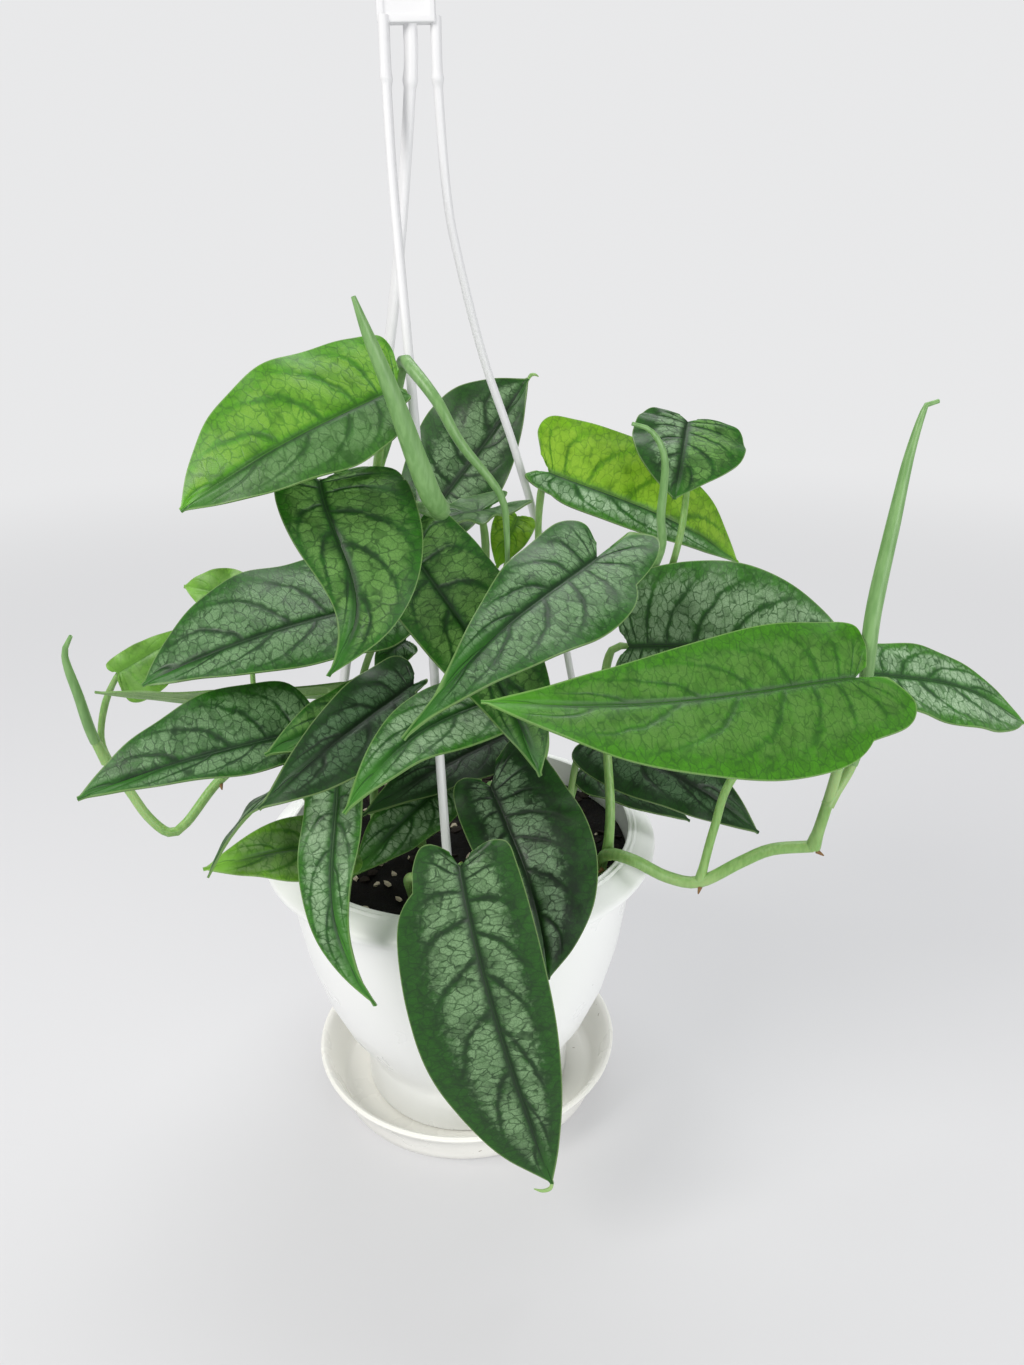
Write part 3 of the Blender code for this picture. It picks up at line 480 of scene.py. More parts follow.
# --- Materials
class Nodes:
    """Short names for the nodes of one material."""

    def __init__(self, name):
        self.material = bpy.data.materials.new(name)
        self.material.use_nodes = True
        self.tree = self.material.node_tree
        self.shader = self.tree.nodes["Principled BSDF"]

    def link(self, value, socket):
        if isinstance(value, bpy.types.NodeSocket):
            self.tree.links.new(value, socket)
        else:
            socket.default_value = value

    def node(self, kind, *values, **settings):
        """A new node; the values go to its first inputs in turn."""
        made = self.tree.nodes.new(kind)
        for key, value in settings.items():
            setattr(made, key, value)
        for value, socket in zip(values, made.inputs):
            self.link(value, socket)
        return made

    def fill(self, made, **inputs):
        for key, value in inputs.items():
            self.link(value, made.inputs[key])
        return made.outputs

    def math(self, operation, *values):
        return self.node("ShaderNodeMath", *values, operation=operation).outputs[0]

    def plus(self, a, b):
        return self.math("ADD", a, b)

    def minus(self, a, b):
        return self.math("SUBTRACT", a, b)

    def most(self, a, b):
        return self.math("MAXIMUM", a, b)

    def times(self, product, *others):
        for other in others:
            product = self.math("MULTIPLY", product, other)
        return product

    def ramp(self, value, low, high, out_low=0.0, out_high=1.0):
        return self.node("ShaderNodeMapRange", value, low, high, out_low, out_high,
                         interpolation_type="SMOOTHSTEP").outputs[0]

    def fade(self, value, low, high, strength=1.0):
        return self.ramp(value, low, high, strength, 0.0)

    def mix(self, share, a, b):
        made = self.node("ShaderNodeMix", share, data_type="RGBA")
        self.link(a, made.inputs[6])
        self.link(b, made.inputs[7])
        return made.outputs[2]

    def noise(self, place, scale, detail=2.0, rough=0.5, output="Fac"):
        made = self.node("ShaderNodeTexNoise")
        return self.fill(made, Vector=place, Scale=scale, Detail=detail, Roughness=rough)[output]

    def cells(self, place, scale, feature="DISTANCE_TO_EDGE", output="Distance"):
        made = self.node("ShaderNodeTexVoronoi", feature=feature)
        return self.fill(made, Vector=place, Scale=scale)[output]

    def place(self):
        return self.node("ShaderNodeTexCoord").outputs["Object"]

    def map(self, name):
        return self.node("ShaderNodeUVMap", uv_map=name).outputs[0]

    def split(self, vector):
        return self.node("ShaderNodeSeparateXYZ", vector).outputs

    def stretched(self, place, scale):
        return self.fill(self.node("ShaderNodeMapping"), Vector=place, Scale=scale)[0]

    def from_vein(self, count):
        """Distance from the nearest side vein: 0 on it and 0.5 halfway to the next."""
        return self.minus(0.5, self.math("ABSOLUTE", self.minus(self.math("FRACT", count), 0.5)))

    def bump(self, height, depth, strength=1.0):
        made = self.node("ShaderNodeBump")
        normal = self.fill(made, Strength=strength, Distance=depth, Height=height)["Normal"]
        self.set(Normal=normal)

    def set(self, **sockets):
        self.fill(self.shader, **{key.replace("_", " "): value for key, value in sockets.items()})


def rgb(red, green, blue):
    return (red, green, blue, 1.0)


def srgb(*seen):
    """A seen colour, 0 to 255, as Blender's light values."""
    return rgb(*(((v / 255 + 0.055) / 1.055) ** 2.4 for v in seen))


def shade(color, share):
    return rgb(*(v * share for v in color[:3]))


def moulded_plastic(name, color, other, rough, specks=0.0):
    """Smooth moulded plastic with a faint cloudiness and, where it holds water, a few specks."""
    n = Nodes(name)
    place = n.place()
    tone = n.mix(n.noise(place, 22.0, 4.0), rgb(*color), rgb(*other))
    if specks:
        dots = n.ramp(n.noise(place, 330.0, 2.0, 0.6), 0.71, 0.76)
        few = n.ramp(n.noise(place, 35.0), 0.5, 0.62)
        tone = n.mix(n.times(dots, few, specks), tone, rgb(0.22, 0.15, 0.09))
    n.set(Base_Color=tone, Roughness=n.ramp(n.noise(place, 60.0, 3.0), 0.3, 0.7, rough - 0.05, rough + 0.07),
          Specular_IOR_Level=0.5)
    n.bump(n.noise(place, 60.0, 1.0), 0.00004, 0.3)
    return n.material


def potting_mix():
    n = Nodes("potting_mix")
    grain = n.noise(n.place(), 420.0, 6.0, 0.7)
    tone = n.mix(n.ramp(grain, 0.35, 0.75), rgb(0.002, 0.002, 0.0018), rgb(0.010, 0.008, 0.006))
    n.set(Base_Color=tone, Roughness=n.ramp(grain, 0.3, 0.7, 0.75, 0.98), Specular_IOR_Level=0.15)
    n.bump(grain, 0.0012)
    return n.material


def crumb(name, scale, detail, color, other, rough, gloss=0.5, relief=None):
    """A matt mottled skin; its relief is the scale, detail and depth of its bumps."""
    n = Nodes(name)
    place = n.place()
    n.set(Base_Color=n.mix(n.noise(place, scale, detail), color, other), Roughness=rough,
          Specular_IOR_Level=gloss)
    if relief:
        n.bump(n.noise(place, *relief[:2]), relief[2])
    return n.material


def stalk():
    """Pale green stalk with faint long streaks and a waxy gloss."""
    n = Nodes("stalk_skin")
    place = n.place()
    streak = n.noise(n.stretched(place, (1.0, 1.0, 0.18)), 900.0, 3.0)
    tone = n.mix(n.ramp(streak, 0.35, 0.65), srgb(118, 160, 82), srgb(134, 174, 98))
    tone = n.mix(n.ramp(n.noise(place, 45.0), 0.45, 0.75), tone, srgb(152, 184, 116))
    n.set(Base_Color=tone, Roughness=0.42, Subsurface_Weight=0.12, Subsurface_Scale=0.002)
    n.bump(streak, 0.00025, 0.6)
    return n.material


def rolled_skin():
    """The pale, slightly ribbed back of a leaf that is still rolled."""
    n = Nodes("rolled_leaf_skin")
    rib = n.noise(n.stretched(n.place(), (1.0, 1.0, 0.12)), 700.0)
    tone = n.mix(n.ramp(rib, 0.35, 0.65), srgb(104, 146, 82), srgb(120, 160, 97))
    n.set(Base_Color=tone, Roughness=0.40)
    n.bump(rib, 0.00012, 0.5)
    return n.material


def blade_face(name, silver, flesh, vein, margin, reach=0.98, soft=0.0, fine=0.4, cover=1.0):
    """Upper side of a blade: silvery panels between the side veins, in a net of darker lines.
    Its map "Blade" gives the place from the midrib and from the notch, and its map "Veins" counts
    the side veins and gives the distance from the margin. The panels end at reach; cover is their
    strength, soft how faint the lines on them are, and fine the strength of the small net."""
    n = Nodes(name)
    blade = n.map("Blade")
    count, margin_off = n.split(n.map("Veins"))[:2]
    from_rib = n.times(n.math("ABSOLUTE", n.split(blade)[0]), UV_UNIT)
    from_edge = n.times(margin_off, UV_UNIT)
    width = n.plus(from_rib, from_edge)
    out = n.math("DIVIDE", from_rib, n.plus(width, 0.01))
    cloud = n.noise(blade, 11.0, 3.0)
    ragged = n.noise(blade, 45.0)
    aside = n.from_vein(n.plus(count, n.times(n.noise(blade, 9.0), VEIN_WOBBLE)))

    # net of large cells, whose lines come and go, and small ones
    net = n.node("ShaderNodeVectorMath", n.noise(blade, 50.0, output="Color"), NET_WOBBLE,
                 n.stretched(blade, NET_STRETCH), operation="MULTIPLY_ADD").outputs[0]
    large = n.times(n.fade(n.cells(net, NET_SCALE), *NET_LINE),
                    n.ramp(n.noise(blade, 32.0), 0.32, 0.60, 0.62, 1.0), 0.9)
    small = n.times(n.fade(n.cells(blade, SMALL_NET_SCALE), *NET_LINE), fine)
    lines = n.most(large, small)
    chance = n.split(n.cells(net, NET_SCALE, "F1", "Color"))[0]

    # panels lie clear of the side veins, the midrib and the margin
    edge = n.plus(out, n.times(n.minus(ragged, 0.5), 0.35))
    uneven = n.plus(n.times(ragged, 0.26), n.times(chance, 0.09))
    panel = n.times(n.fade(edge, reach - PANEL_FADE, reach),
                    n.ramp(n.plus(from_rib, n.times(uneven, 5.0)), *PANEL_FROM_RIB),
                    n.ramp(n.plus(aside, uneven), *PANEL_FROM_VEIN),
                    n.ramp(n.plus(cloud, n.times(chance, 0.22)), 0.38, 0.72, 0.42, 1.0), cover,
                    n.minus(1.0, n.times(lines, 1.0 - soft)))

    # cloudy flesh with a darker border and patches, then net, panels, larger veins and a pale rim
    body = n.mix(n.ramp(cloud, 0.3, 0.7), shade(flesh, 0.85), shade(flesh, 1.35))
    body = n.mix(n.ramp(edge, 0.72, 1.0), body, margin)
    patches = n.ramp(n.noise(blade, 30.0, 3.0), 0.42, 0.62)
    body = n.mix(n.times(patches, 0.3), body, shade(margin, 1.7))
    body = n.mix(n.times(lines, 0.6), body, vein)
    body = n.mix(panel, body, silver)
    body = n.mix(n.fade(width, 0.8, 6.5, 0.8), body, shade(margin, 1.5))
    side = n.times(n.fade(aside, *SIDE_VEIN, 0.62 - 0.5 * soft), n.fade(out, 0.45, 0.92))
    rib = n.times(n.fade(from_rib, *RIB_LINE, 0.88 - 0.4 * soft), n.ramp(width, 1.2, 6.0))
    body = n.mix(n.most(side, rib), body, vein)
    body = n.mix(n.fade(from_rib, *RIM_LINE, 0.35), body, margin)
    body = n.mix(n.fade(from_edge, *RIM_LINE, 0.4), body, srgb(*RIM_COLOR))
    dots = n.times(n.ramp(n.noise(blade, 260.0), 0.74, 0.78), n.ramp(n.noise(blade, 25.0), 0.55, 0.66))
    body = n.mix(n.times(dots, 0.6), body, srgb(*SPECK_COLOR))
    n.set(Base_Color=body, Roughness=n.ramp(cloud, 0.3, 0.7, 0.36, 0.50), Specular_IOR_Level=0.34)
    raised = n.plus(n.times(panel, 0.4), n.times(n.noise(blade, 120.0), 0.15))
    n.bump(n.minus(raised, n.most(n.times(rib, 0.9), side)), 0.00028, 0.7)
    return n.material


def blade_back(name, color, pale):
    """Under side of a blade: paler, matt, with the side veins lighter."""
    n = Nodes(name)
    blade = n.map("Blade")
    line = n.fade(n.from_vein(n.split(n.map("Veins"))[0]), *SIDE_VEIN, 0.95)
    net = n.fade(n.cells(blade, BACK_NET_SCALE), 0.0, 0.12, 0.4)
    lines = n.most(line, net)
    tone = n.mix(n.noise(blade, 12.0, 3.0), color, pale)
    n.set(Base_Color=n.mix(lines, tone, pale), Roughness=0.55)
    n.bump(lines, 0.0004, 0.6)
    return n.material


# --- Paths and outlines
def between(before, start, end, after, f):
    """A share of the way from start to end, on a smooth curve that the other two bend."""
    return 0.5 * (2 * start + (end - before) * f + (2 * before - 5 * start + 4 * end - after) * f * f
                  + (3 * start - before - 3 * end + after) * f ** 3)


def smooth_path(points, step):
    """Even points, about a step apart, on a smooth curve through the given ones."""
    ends = [Vector(p) for p in points]
    ends = [2 * ends[0] - ends[1]] + ends + [2 * ends[-1] - ends[-2]]
    path = []
    for before, start, end, after in zip(ends, ends[1:], ends[2:], ends[3:]):
        pieces = max(1, round((end - start).length / step))
        path.extend(between(before, start, end, after, k / pieces) for k in range(pieces))
    return path + [ends[-2]]


def curve_value(values, share):
    """A smooth curve through evenly spaced values, read at a share of its length."""
    count = len(values) - 1
    place = min(max(share, 0.0), 1.0) * count
    k = min(int(place), count - 1)
    start, end = values[k], values[k + 1]
    before = values[k - 1] if k > 0 else 2 * start - end
    after = values[k + 2] if k < count - 1 else 2 * end - start
    return between(before, start, end, after, place - k)


def spread(values, share):
    """A value read at a share of an evenly spread list, straight between its entries."""
    place = share * (len(values) - 1)
    k = min(int(place), len(values) - 2)
    return values[k] + (values[k + 1] - values[k]) * (place - k)


def hump(place, width):
    return math.exp(-(place / width) ** 2)


# --- Leaves
def leaf_axes(blade):
    """The blade's own axes: along the midrib, to its left, and the way its upper side faces."""
    along = (Vector(blade["tip"]) - Vector(blade["base"])).normalized()
    azimuth, elevation = (math.radians(v) for v in blade["face"])
    facing = Vector((math.cos(elevation) * math.cos(azimuth), math.cos(elevation) * math.sin(azimuth),
                     math.sin(elevation)))
    up = (facing - along * facing.dot(along)).normalized()
    return along, up.cross(along), up


def side_vein_count(blade, share, across):
    """How many side veins lie between the notch and a point; they sweep forward near the margin."""
    shift = HALF_SHIFT if across < 0 else 0.0
    return share * blade["veins"] - VEIN_FORWARD * abs(across) ** 3 + shift


def leaf_point(blade, share, across, fine=True):
    """A point of the blade's middle surface, its distance from the midrib, along it and from the margin.
    Share runs from the notch to the tip, and across from -1 at the right margin to 1 at the left."""
    along, left, up = leaf_axes(blade)
    base = Vector(blade["base"])
    length = (Vector(blade["tip"]) - base).length
    half_of = 0 if across >= 0 else 1
    side = 1 if across >= 0 else -1
    out = abs(across)
    half, full, lobe, neck, close, fold = (
        blade[key][half_of] for key in ("wide", "full", "lobe", "neck", "close", "fold"))
    reach = curve_value(ALONG, share)
    margin_s = curve_value([s * lobe if s < 0 else s for s in ALONG], share)
    margin_w = (1 - full) * curve_value(OVATE, share) + full * curve_value(FULL, share)
    if reach < NECK_END:
        margin_w *= 1 - NECK_DEPTH * neck * (1 - max(reach, NECK_START) / NECK_END) ** 2
    if share < LOBE_END:
        inward = close * (1 - share / LOBE_END) ** 2
        margin_w -= inward
        margin_s -= inward * lobe
    rib_s = share * share * (RIB_START + (1 - RIB_START) * share)
    s = rib_s + (margin_s - rib_s) * out ** VEIN_BEND
    widest = max(half * margin_w, TIP_HALF_WIDTH)
    w = widest * out
    r = w / half
    on_rib = min(max(s, 0.0), 1.0)

    def bow(place):
        return math.sin(math.pi * place ** blade["late"])

    after, before = min(on_rib + 0.001, 1.0), max(on_rib - 0.001, 0.0)
    rate = (bow(after) - bow(before)) / ((after - before) * length)
    rise, drift = blade["arch"] * rate, blade["sweep"] * rate
    past = (s - on_rib) * length
    spot = (base + along * (s * length) + up * (blade["arch"] * bow(on_rib) + past * rise)
            + left * (blade["sweep"] * bow(on_rib) + past * drift))
    normal = (up - along * rise).normalized()
    sideways = (left - along * (drift * VEIN_TURN)).normalized()
    turns = WAVE_COUNT * on_rib + blade["phase"] + HALF_SHIFT * half_of
    wave = blade["wave"] * r * r * (1 - on_rib ** 4) * math.sin(2 * math.pi * turns)
    fold = math.radians(fold)
    height = math.sin(fold) * w - ROLL_DEPTH * half * r * r + wave
    if fine:
        height += blade_relief(blade, share, across, w, half, on_rib)
    gap = min(widest - w, (1 - out) * EDGE_SLOPE * half)
    return spot + sideways * (side * w * math.cos(fold)) + normal * height, side * w, s * length, gap


def blade_relief(blade, share, across, w, half, on_rib):
    """Swellings between the side veins, the channel over the midrib and the margin's small ripples."""
    out = abs(across)
    small = min(1.0, half / FULL_RELIEF_HALF)
    taper = min(1.0, (1 - on_rib) * 4)
    swell = abs(math.sin(math.pi * side_vein_count(blade, share, across))) ** 0.8 - 0.6
    quilt = QUILT * swell * math.sin(math.pi * min(1.0, out * 1.05))
    turns = RIPPLE_COUNT * share + 3 * blade["phase"] + (0.2 if across < 0 else 0)
    ripple = MARGIN_RIPPLE * out ** 5 * math.sin(2 * math.pi * turns)
    uneven = UNEVENNESS * out * noise.noise(Vector((share * 6, across * 1.5, blade["seed"])))
    return small * ((quilt - RIB_GROOVE * hump(w, RIB_GROOVE_HALF) + ripple) * taper + uneven)


def make_leaf(blade, faces, back, skin):
    """A blade with its two maps, a real thickness and the midrib's ridge under it."""
    place, name = blade["place"], "leaf_" + blade["place"]
    up = leaf_axes(blade)[2]
    cut = 2 if blade["small"] else 1
    bpy.ops.mesh.primitive_grid_add(x_subdivisions=2 * BLADE_COLUMNS // cut,
                                    y_subdivisions=BLADE_ROWS // cut, size=2, calc_uvs=False)
    item = take(name + "_blade")
    places, veins, crosses = [], [], []
    for vert in item.data.vertices:
        share = (vert.co.y + 1) / 2
        across = -vert.co.x * (0.6 + 0.4 * abs(vert.co.x))
        point, w, s, gap = leaf_point(blade, share, across)
        places.append((w / UV_UNIT, s / UV_UNIT + MAP_START + blade["seed"] * MAP_STEP))
        veins.append((side_vein_count(blade, share, across), gap / UV_UNIT))
        crosses.append(across)
        vert.co = point * MM
    for title, values in (("Blade", places), ("Veins", veins)):
        layer = item.data.uv_layers.new(name=title)
        for loop in item.data.loops:
            layer.data[loop.index].uv = values[loop.vertex_index]
    finish(item, faces[0], back, faces[1], back)
    for face in item.data.polygons:
        face.material_index = 2 if sum(crosses[v] for v in face.vertices) < 0 else 0
    solid = thicken(item, BLADE_THICK)
    solid.material_offset = 1
    solid.material_offset_rim = 0
    if sum((f.normal * f.area for f in item.data.polygons), Vector()).dot(up) < 0:
        item.data.flip_normals()
    apply_all(item)
    smooth(item, 60)
    thick = min(blade["wide"]) / 20
    radii = [(0.95 - 0.75 * k / (RIDGE_STEPS - 1)) * thick for k in range(RIDGE_STEPS)]
    rib = [leaf_point(blade, (k + 2) / (RIDGE_STEPS + 2), 0)[0] - up * (radius + 0.12)
           for k, radius in enumerate(radii)]
    pieces = [item, make_tube(name + "_ridge", rib, radii, 3, skin)]
    if place in TIP_THREADS:
        thread = smooth_path([blade["tip"], *TIP_THREADS[place]], 0.8)
        pieces.append(make_tube(name + "_tip", thread, (0.6, 0.75, 0.55, 0.2), 3, skin))
    return join(name + "_fine", pieces)


# --- Stems
def make_tube(name, path, radii, resolution, skin, flat=0.0):
    """A capped tube along a path in mm; its radii, in mm, spread evenly along it."""
    curve = bpy.data.curves.new(name, "CURVE")
    curve.dimensions = "3D"
    curve.bevel_depth = MM
    curve.extrude = flat * MM
    curve.bevel_resolution = resolution
    curve.use_fill_caps = True
    spline = curve.splines.new("POLY")
    spline.points.add(len(path) - 1)
    for k, (point, place) in enumerate(zip(spline.points, path)):
        point.co = (*(Vector(place) * MM), 1.0)
        point.radius = spread(radii, k / (len(path) - 1))
    only(put(name, curve))
    bpy.ops.object.convert(target="MESH")
    item = take(name)
    bpy.ops.object.mode_set(mode="EDIT")
    bpy.ops.mesh.select_all(action="SELECT")
    bpy.ops.mesh.remove_doubles(threshold=0.000005)
    bpy.ops.mesh.normals_make_consistent(inside=False)
    bpy.ops.object.mode_set(mode="OBJECT")
    finish(item, skin)
    smooth(item, 60)
    return item


def petiole_end(blade):
    """The two last points of a stalk, on the blade's underside."""
    base = Vector(blade["base"])
    ahead = leaf_point(blade, STALK_SHARE, 0, fine=False)[0]
    up = (ahead - base).cross(leaf_axes(blade)[1]).normalized()
    return base - up * UNDER_NOTCH, ahead - up * UNDER_RIB


def rolled_leaf(name, path, radii, skin):
    """A young leaf rolled round itself: a sheet wound a little over once, so its edge shows."""
    bpy.ops.mesh.primitive_grid_add(x_subdivisions=34, y_subdivisions=len(path) - 1, size=2, calc_uvs=False)
    item = take(name)
    sides = []
    side = (path[1] - path[0]).orthogonal().normalized()
    for before, after in zip([path[0]] + path, path[1:] + [path[-1]]):
        ahead = (after - before).normalized()
        side = (side - ahead * side.dot(ahead)).normalized()
        sides.append((side, ahead.cross(side)))
    for vert in item.data.vertices:
        row = round((vert.co.y + 1) / 2 * (len(path) - 1))
        share = row / (len(path) - 1)
        round_it = (vert.co.x + 1) / 2
        turn = math.radians(200 + 430 * round_it + 70 * share)
        radius = spread(radii, share) * (0.86 + 0.2 * round_it)
        a, b = sides[row]
        vert.co = (path[row] + (a * math.cos(turn) + b * math.sin(turn)) * radius) * MM
    finish(item, skin)
    thicken(item, 0.35)
    apply_all(item)
    smooth(item, 60)
    return item


def rolled_start(values):
    """Where a run turns from its stalk into the rolled leaf: the last thin place before the thickest."""
    start = values.index(max(values[len(values) // 4:]))
    while start > 1 and values[start - 1] < values[start]:
        start -= 1
    return min(max(start, 1), len(values) - 6)


def make_vine(name, runs, blades, skin, rolled, husk):
    """A stem with its stalks, a knot where each stalk leaves it, and its rolled young leaves."""
    pieces = []
    for k, (points, radii, *carried) in enumerate(runs):
        points = [Vector(p) for p in points]
        if k == 0:
            points.insert(0, Vector((*points[0].xy, STEM_FOOT_Z)))
        for place in carried:
            points.extend(petiole_end(blades[place]))
        path = smooth_path(points, STEM_STEP)
        last = len(path) - 1
        values = [spread(radii, m / last) for m in range(len(path))]
        if carried:
            values = [v * (1 + KNEE * hump(last - 5 - m, 2.5)) for m, v in enumerate(values)]
            values = [v * min(1.0, 0.45 + 0.3 * (last - m)) for m, v in enumerate(values)]
        if k:
            values = [v * (1 + KNOT * hump(m, 1.6)) for m, v in enumerate(values)]
        if k and not carried:
            start = rolled_start(values)
            pieces.append(rolled_leaf(f"{name}_roll_{k}", path[start:], values[start:], rolled))
            path, values = path[:start + 3], values[:start + 3]
        pieces.append(make_tube(f"{name}_{k}", path, values, 6, skin))
    for scar in SCARS.get(name, ()):
        pieces.append(make_tube(name + "_scar", smooth_path(scar, 0.6), SCAR_RADII, 3, husk))
    return join(name + "_fine", pieces)


# --- Pot, saucer, soil and hanger
def turned(name, profile, skin):
    """A solid of revolution: a disc is extruded and resized from each profile point to the next."""
    radius, height = profile[0]
    bpy.ops.mesh.primitive_circle_add(vertices=TURN_STEPS, radius=radius * MM, fill_type="TRIFAN",
                                      location=(0, 0, height * MM))
    item = take(name)
    place_in_mesh(item)
    bpy.ops.object.mode_set(mode="EDIT")
    bpy.ops.mesh.select_all(action="SELECT")
    for next_radius, next_height in profile[1:]:
        bpy.ops.mesh.extrude_region_move(
            TRANSFORM_OT_translate={"value": (0, 0, (next_height - height) * MM)})
        share = next_radius / radius
        bpy.ops.transform.resize(value=(share, share, 1), center_override=(0, 0, 0))
        radius, height = next_radius, next_height
    bpy.ops.mesh.select_all(action="SELECT")
    bpy.ops.mesh.normals_make_consistent(inside=False)
    bpy.ops.object.mode_set(mode="OBJECT")
    finish(item, skin)
    smooth(item, 38)
    return item


def soil_lump(place, radius, lift):
    """How far the lumpy soil rises at a place, with a lift in mm; it is flat at its edge."""
    lump = noise.noise(place * 90) * 2.2 + noise.noise(place * 260) * 1.1
    return (lump * min(1, (SOIL_EDGE - radius) / LUMP_FADE) + lift) * MM


def make_soil(skin):
    """The potting mix, with a lumpy top."""
    rings = [(radius, SOIL_TOP) for radius in range(2, SOIL_EDGE, 3)]
    item = turned("soil_mix", [*rings, *reversed(SOIL_SIDE)], skin)
    for vert in item.data.vertices:
        radius = math.hypot(vert.co.x, vert.co.y) / MM
        if vert.co.z > (SOIL_TOP - 2) * MM and radius < SOIL_EDGE:
            vert.co.z += soil_lump(vert.co, radius, 0.4)
    smooth(item, 60)
    return item


def scatter(name, count, size, squash, skin, seed):
    """Small crumbs on the soil: one rough grain, copied, turned and sized."""
    bpy.ops.mesh.primitive_ico_sphere_add(subdivisions=1, radius=0.5)
    grain = take(name + "_grain")
    pick = random.Random(seed)
    for vert in grain.data.vertices:
        vert.co *= 0.8 + 0.45 * pick.random()
    copies = []
    for k in range(count):
        angle, radius = pick.random() * 2 * math.pi, CRUMB_RADIUS * math.sqrt(pick.random())
        copy = put(name, grain.data.copy())
        scale = size * (0.6 + 0.8 * pick.random()) * MM
        stretch = Matrix.Diagonal((scale * (1 + pick.random()), scale, scale * squash, 1))
        turn = Matrix.Rotation(pick.random() * 6, 4, "Z") @ Matrix.Rotation(pick.random() - 0.5, 4, "X")
        place = Vector((radius * math.cos(angle), radius * math.sin(angle), SOIL_TOP)) * MM
        place.z += soil_lump(place, radius, 0.7)
        copy.data.transform(Matrix.Translation(place) @ turn @ stretch)
        copies.append(copy)
    bpy.data.objects.remove(grain, do_unlink=True)
    item = join(name, copies)
    finish(item, skin)
    smooth(item, 30)
    return item


def make_plate(skin):
    """The junction plate: a rounded head and a sunken plain panel on both faces."""
    middle = Vector((PLATE_X, 0, PLATE_BOTTOM + PLATE_HEIGHT / 2))
    bpy.ops.mesh.primitive_cube_add(size=1, location=middle * MM,
                                    scale=Vector((PLATE_WIDTH, PLATE_THICK, PLATE_HEIGHT)) * MM)
    item = take("plate")
    place_in_mesh(item)
    work = bmesh.new()
    work.from_mesh(item.data)
    upper = [e for e in work.edges if all(v.co.z > (PLATE_BOTTOM + 1) * MM for v in e.verts)
             and abs(e.verts[0].co.y - e.verts[1].co.y) > MM]
    bmesh.ops.bevel(work, geom=upper, offset=PLATE_ROUND * MM, segments=8, profile=0.5, affect="EDGES")
    work.to_mesh(item.data)
    work.free()
    for facing in (-1, 1):
        only(item)
        bpy.ops.object.mode_set(mode="EDIT")
        bpy.ops.mesh.select_mode(type="FACE")
        bpy.ops.mesh.select_all(action="DESELECT")
        bpy.ops.object.mode_set(mode="OBJECT")
        for face in item.data.polygons:
            face.select = face.normal.y * facing > 0.9
        bpy.ops.object.mode_set(mode="EDIT")
        bpy.ops.mesh.inset(thickness=PANEL_FRAME * MM)
        bpy.ops.mesh.inset(thickness=PANEL_SLOPE * MM, depth=-PANEL_DEPTH * MM)
        bpy.ops.object.mode_set(mode="OBJECT")
    bevel = item.modifiers.new("Soft edges", "BEVEL")
    bevel.width = 0.5 * MM
    bevel.segments = 3
    bevel.limit_method = "ANGLE"
    apply_all(item)
    finish(item, skin)
    smooth(item, 40)
    return item


def make_hanger(skin):
    """The hanger in one piece: hook, junction plate, and three arms with knuckles and rim clips."""
    pieces = [make_plate(skin)]
    for name, azimuth, line in ARMS:
        turn = math.radians(azimuth)
        away = Vector((math.cos(turn), math.sin(turn), 0))
        clip = [away * (POT_RADIUS + out) + Vector((0, 0, POT_TOP + up)) for out, up in ARM_CLIP]
        path = smooth_path([*line, *clip], 1.0)
        radii = [ARM_DEEP * (1 + KNUCKLE * hump(p.z - KNUCKLE_Z, 1.2)
                             + (ABOVE_KNUCKLE if p.z > KNUCKLE_Z else 0)
                             + RIM_BEND * hump(p.z - POT_TOP, 6)) for p in path]
        pieces.append(make_tube("arm_" + name, path, radii, 5, skin, flat=ARM_WIDE - ARM_DEEP))
    top = PLATE_BOTTOM + PLATE_HEIGHT
    centre = Vector((PLATE_X, 0, top + HOOK_RADIUS + HOOK_NECK))
    neck = [Vector((PLATE_X, 0, top - 3)), Vector((PLATE_X, 0, top + 4))]
    turns = [math.radians(HOOK_START + (HOOK_END - HOOK_START) * k / HOOK_STEPS)
             for k in range(HOOK_STEPS + 1)]
    bend = [centre + HOOK_RADIUS * Vector((math.cos(a), 0, math.sin(a))) for a in turns]
    path = smooth_path(neck + bend[:1], 2.0)[:-1] + bend
    radii = [HOOK_WIRE] * (len(path) - 2) + [HOOK_WIRE * 0.9, HOOK_WIRE * 0.55]
    pieces.append(make_tube("hook", path, radii, 6, skin))
    return join("hanger_frame", pieces)


# --- Floor, light and camera
def make_floor():
    bpy.ops.mesh.primitive_circle_add(vertices=96, radius=12, fill_type="TRIFAN")
    item = take("pale_floor")
    n = Nodes("pale_floor")
    reach = n.node("ShaderNodeVectorMath", n.place(), operation="LENGTH").outputs["Value"]
    far = n.ramp(reach, 0.3, 1.6)
    n.set(Base_Color=n.mix(far, rgb(*FLOOR_TONE), rgb(0, 0, 0)), Roughness=1.0, Specular_IOR_Level=0.0,
          Emission_Color=n.mix(far, rgb(*FLOOR_GLOW), rgb(*BACKDROP)), Emission_Strength=1.0)
    finish(item, n.material)


def add_light(name, place, target, size, power, color):
    data = bpy.data.lights.new(name, "AREA")
    data.shape = "DISK"
    data.size = size
    data.energy = power
    data.color = color
    item = put(name, data)
    item.location = place
    item.rotation_euler = (Vector(target) - Vector(place)).to_track_quat("-Z", "Y").to_euler()


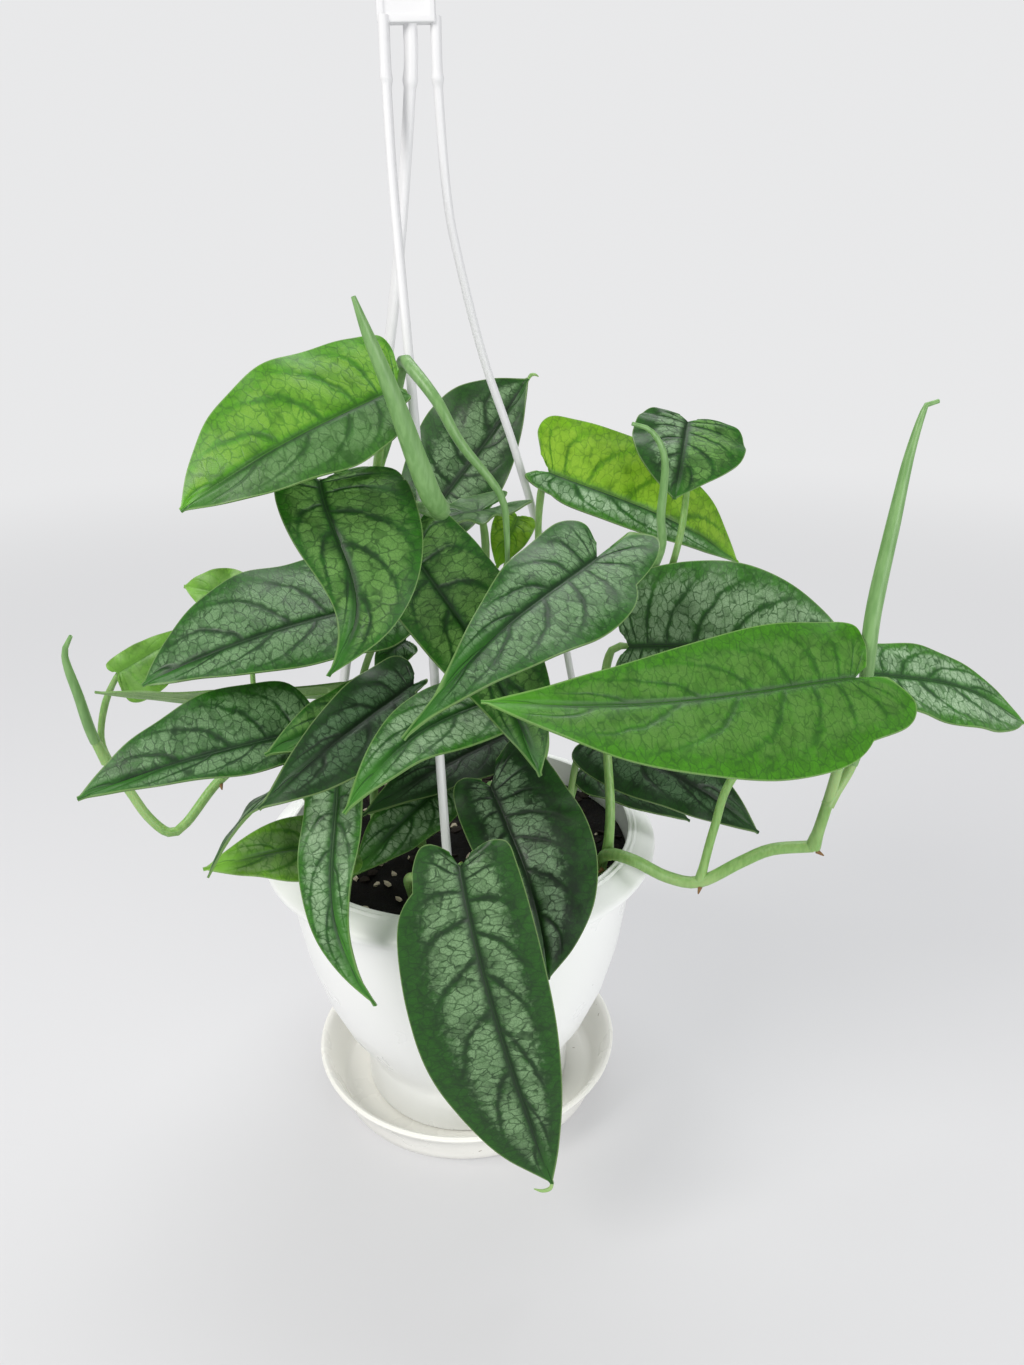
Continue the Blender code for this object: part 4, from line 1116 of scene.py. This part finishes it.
def make_surroundings():
    """A pale room: the camera sees its plain grey-white, and the plant gets less light from it."""
    world = bpy.data.worlds.new("pale_room")
    bpy.context.scene.world = world
    world.use_nodes = True
    tree = world.node_tree
    seen = tree.nodes["Background"]
    seen.inputs["Color"].default_value = rgb(*BACKDROP)
    lit = tree.nodes.new("ShaderNodeBackground")
    lit.inputs["Color"].default_value = rgb(*ROOM_TONE)
    lit.inputs["Strength"].default_value = ROOM_LIGHT
    path = tree.nodes.new("ShaderNodeLightPath")
    mix = tree.nodes.new("ShaderNodeMixShader")
    tree.links.new(path.outputs["Is Camera Ray"], mix.inputs[0])
    tree.links.new(lit.outputs[0], mix.inputs[1])
    tree.links.new(seen.outputs[0], mix.inputs[2])
    tree.links.new(mix.outputs[0], tree.nodes["World Output"].inputs[0])


def make_camera():
    data = bpy.data.cameras.new("camera")
    data.lens = CAMERA_LENS
    data.sensor_fit = "VERTICAL"
    data.sensor_height = CAMERA_FILM
    data.clip_start = 0.01
    item = put("camera", data)
    item.location = CAMERA_PLACE
    turn = (Matrix.Rotation(math.radians(90 - CAMERA_DOWN), 3, "X")
            @ Matrix.Rotation(math.radians(CAMERA_ROLL), 3, "Z"))
    item.rotation_euler = turn.to_euler()
    bpy.context.scene.camera = item


def main():
    make_camera()
    make_surroundings()
    make_floor()
    for lamp in LAMPS:
        add_light(*lamp)

    shell = moulded_plastic("white_pot_plastic", (0.92, 0.93, 0.92), (0.89, 0.90, 0.885), 0.32)
    # The hanger is the pot's white plastic; its darker colour here is painted shade, standing in for less
    # light on it
    hanger_painted_shade = moulded_plastic("white_hanger_plastic_painted_shade", (0.73, 0.73, 0.74), (0.70, 0.70, 0.712), 0.42)
    cream = moulded_plastic("cream_saucer_plastic", (0.91, 0.905, 0.86), (0.86, 0.85, 0.79), 0.30, 0.7)
    grain = crumb("perlite_grain", 700.0, 4.0, rgb(0.62, 0.55, 0.43), rgb(0.30, 0.24, 0.17), 0.9,
                  relief=(1500.0, 4.0, 0.0004))
    bark = crumb("bark_chip", 500.0, 5.0, rgb(0.004, 0.003, 0.002), rgb(0.022, 0.014, 0.009), 0.85, 0.2,
                 (900.0, 5.0, 0.0005))
    husk = crumb("brown_husk", 900.0, 3.0, srgb(96, 66, 38), srgb(152, 118, 74), 0.8)
    skin, rolled = stalk(), rolled_skin()
    pot = turned("pot_shell", POT_INSIDE + POT_OUTSIDE, shell)
    saucer = turned("saucer_dish", SAUCER_INSIDE + SAUCER_OUTSIDE, cream)
    soil = make_soil(potting_mix())
    hanger = make_hanger(hanger_painted_shade)
    for piece, node, slot in ((pot, "pot", "white_plastic"), (saucer, "saucer", "saucer_plastic"),
                              (soil, "soil", "potting_soil"), (hanger, "hanger", "white_plastic")):
        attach(piece, "root")
        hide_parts(node)
    for piece in (scatter("perlite_grains", 90, 2.4, 0.8, grain, 3),
                  scatter("bark_chips", 120, 4.2, 0.45, bark, 8)):
        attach(piece, "root")

    faces = {tone: blade_face("blade_" + tone, *(srgb(*c) for c in colors), **more)
             for tone, (colors, more) in FACES.items()}
    back = blade_back("blade_underside", *(srgb(*c) for c in BACK_COLORS))
    blades = {blade["place"]: blade for blade in LEAVES}
    for k, (place, blade) in enumerate(blades.items()):
        blade.update(seed=k * SEED_STEP, phase=k * PHASE_STEP, veins=SIDE_VEINS.get(place, 6))
        tones = TONES.get(place, "silver")
        halves = (tones, tones) if isinstance(tones, str) else tones
        leaf_piece = make_leaf(blade, [faces[tone] for tone in halves], back, skin)
        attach(leaf_piece, "root")
        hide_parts("leaf_" + place)
    for name, runs in VINES:
        vine = make_vine(name, runs, blades, skin, rolled, husk)
        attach(vine, "root")
        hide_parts(name)

    bpy.context.scene.view_settings.view_transform = "Standard"


main()
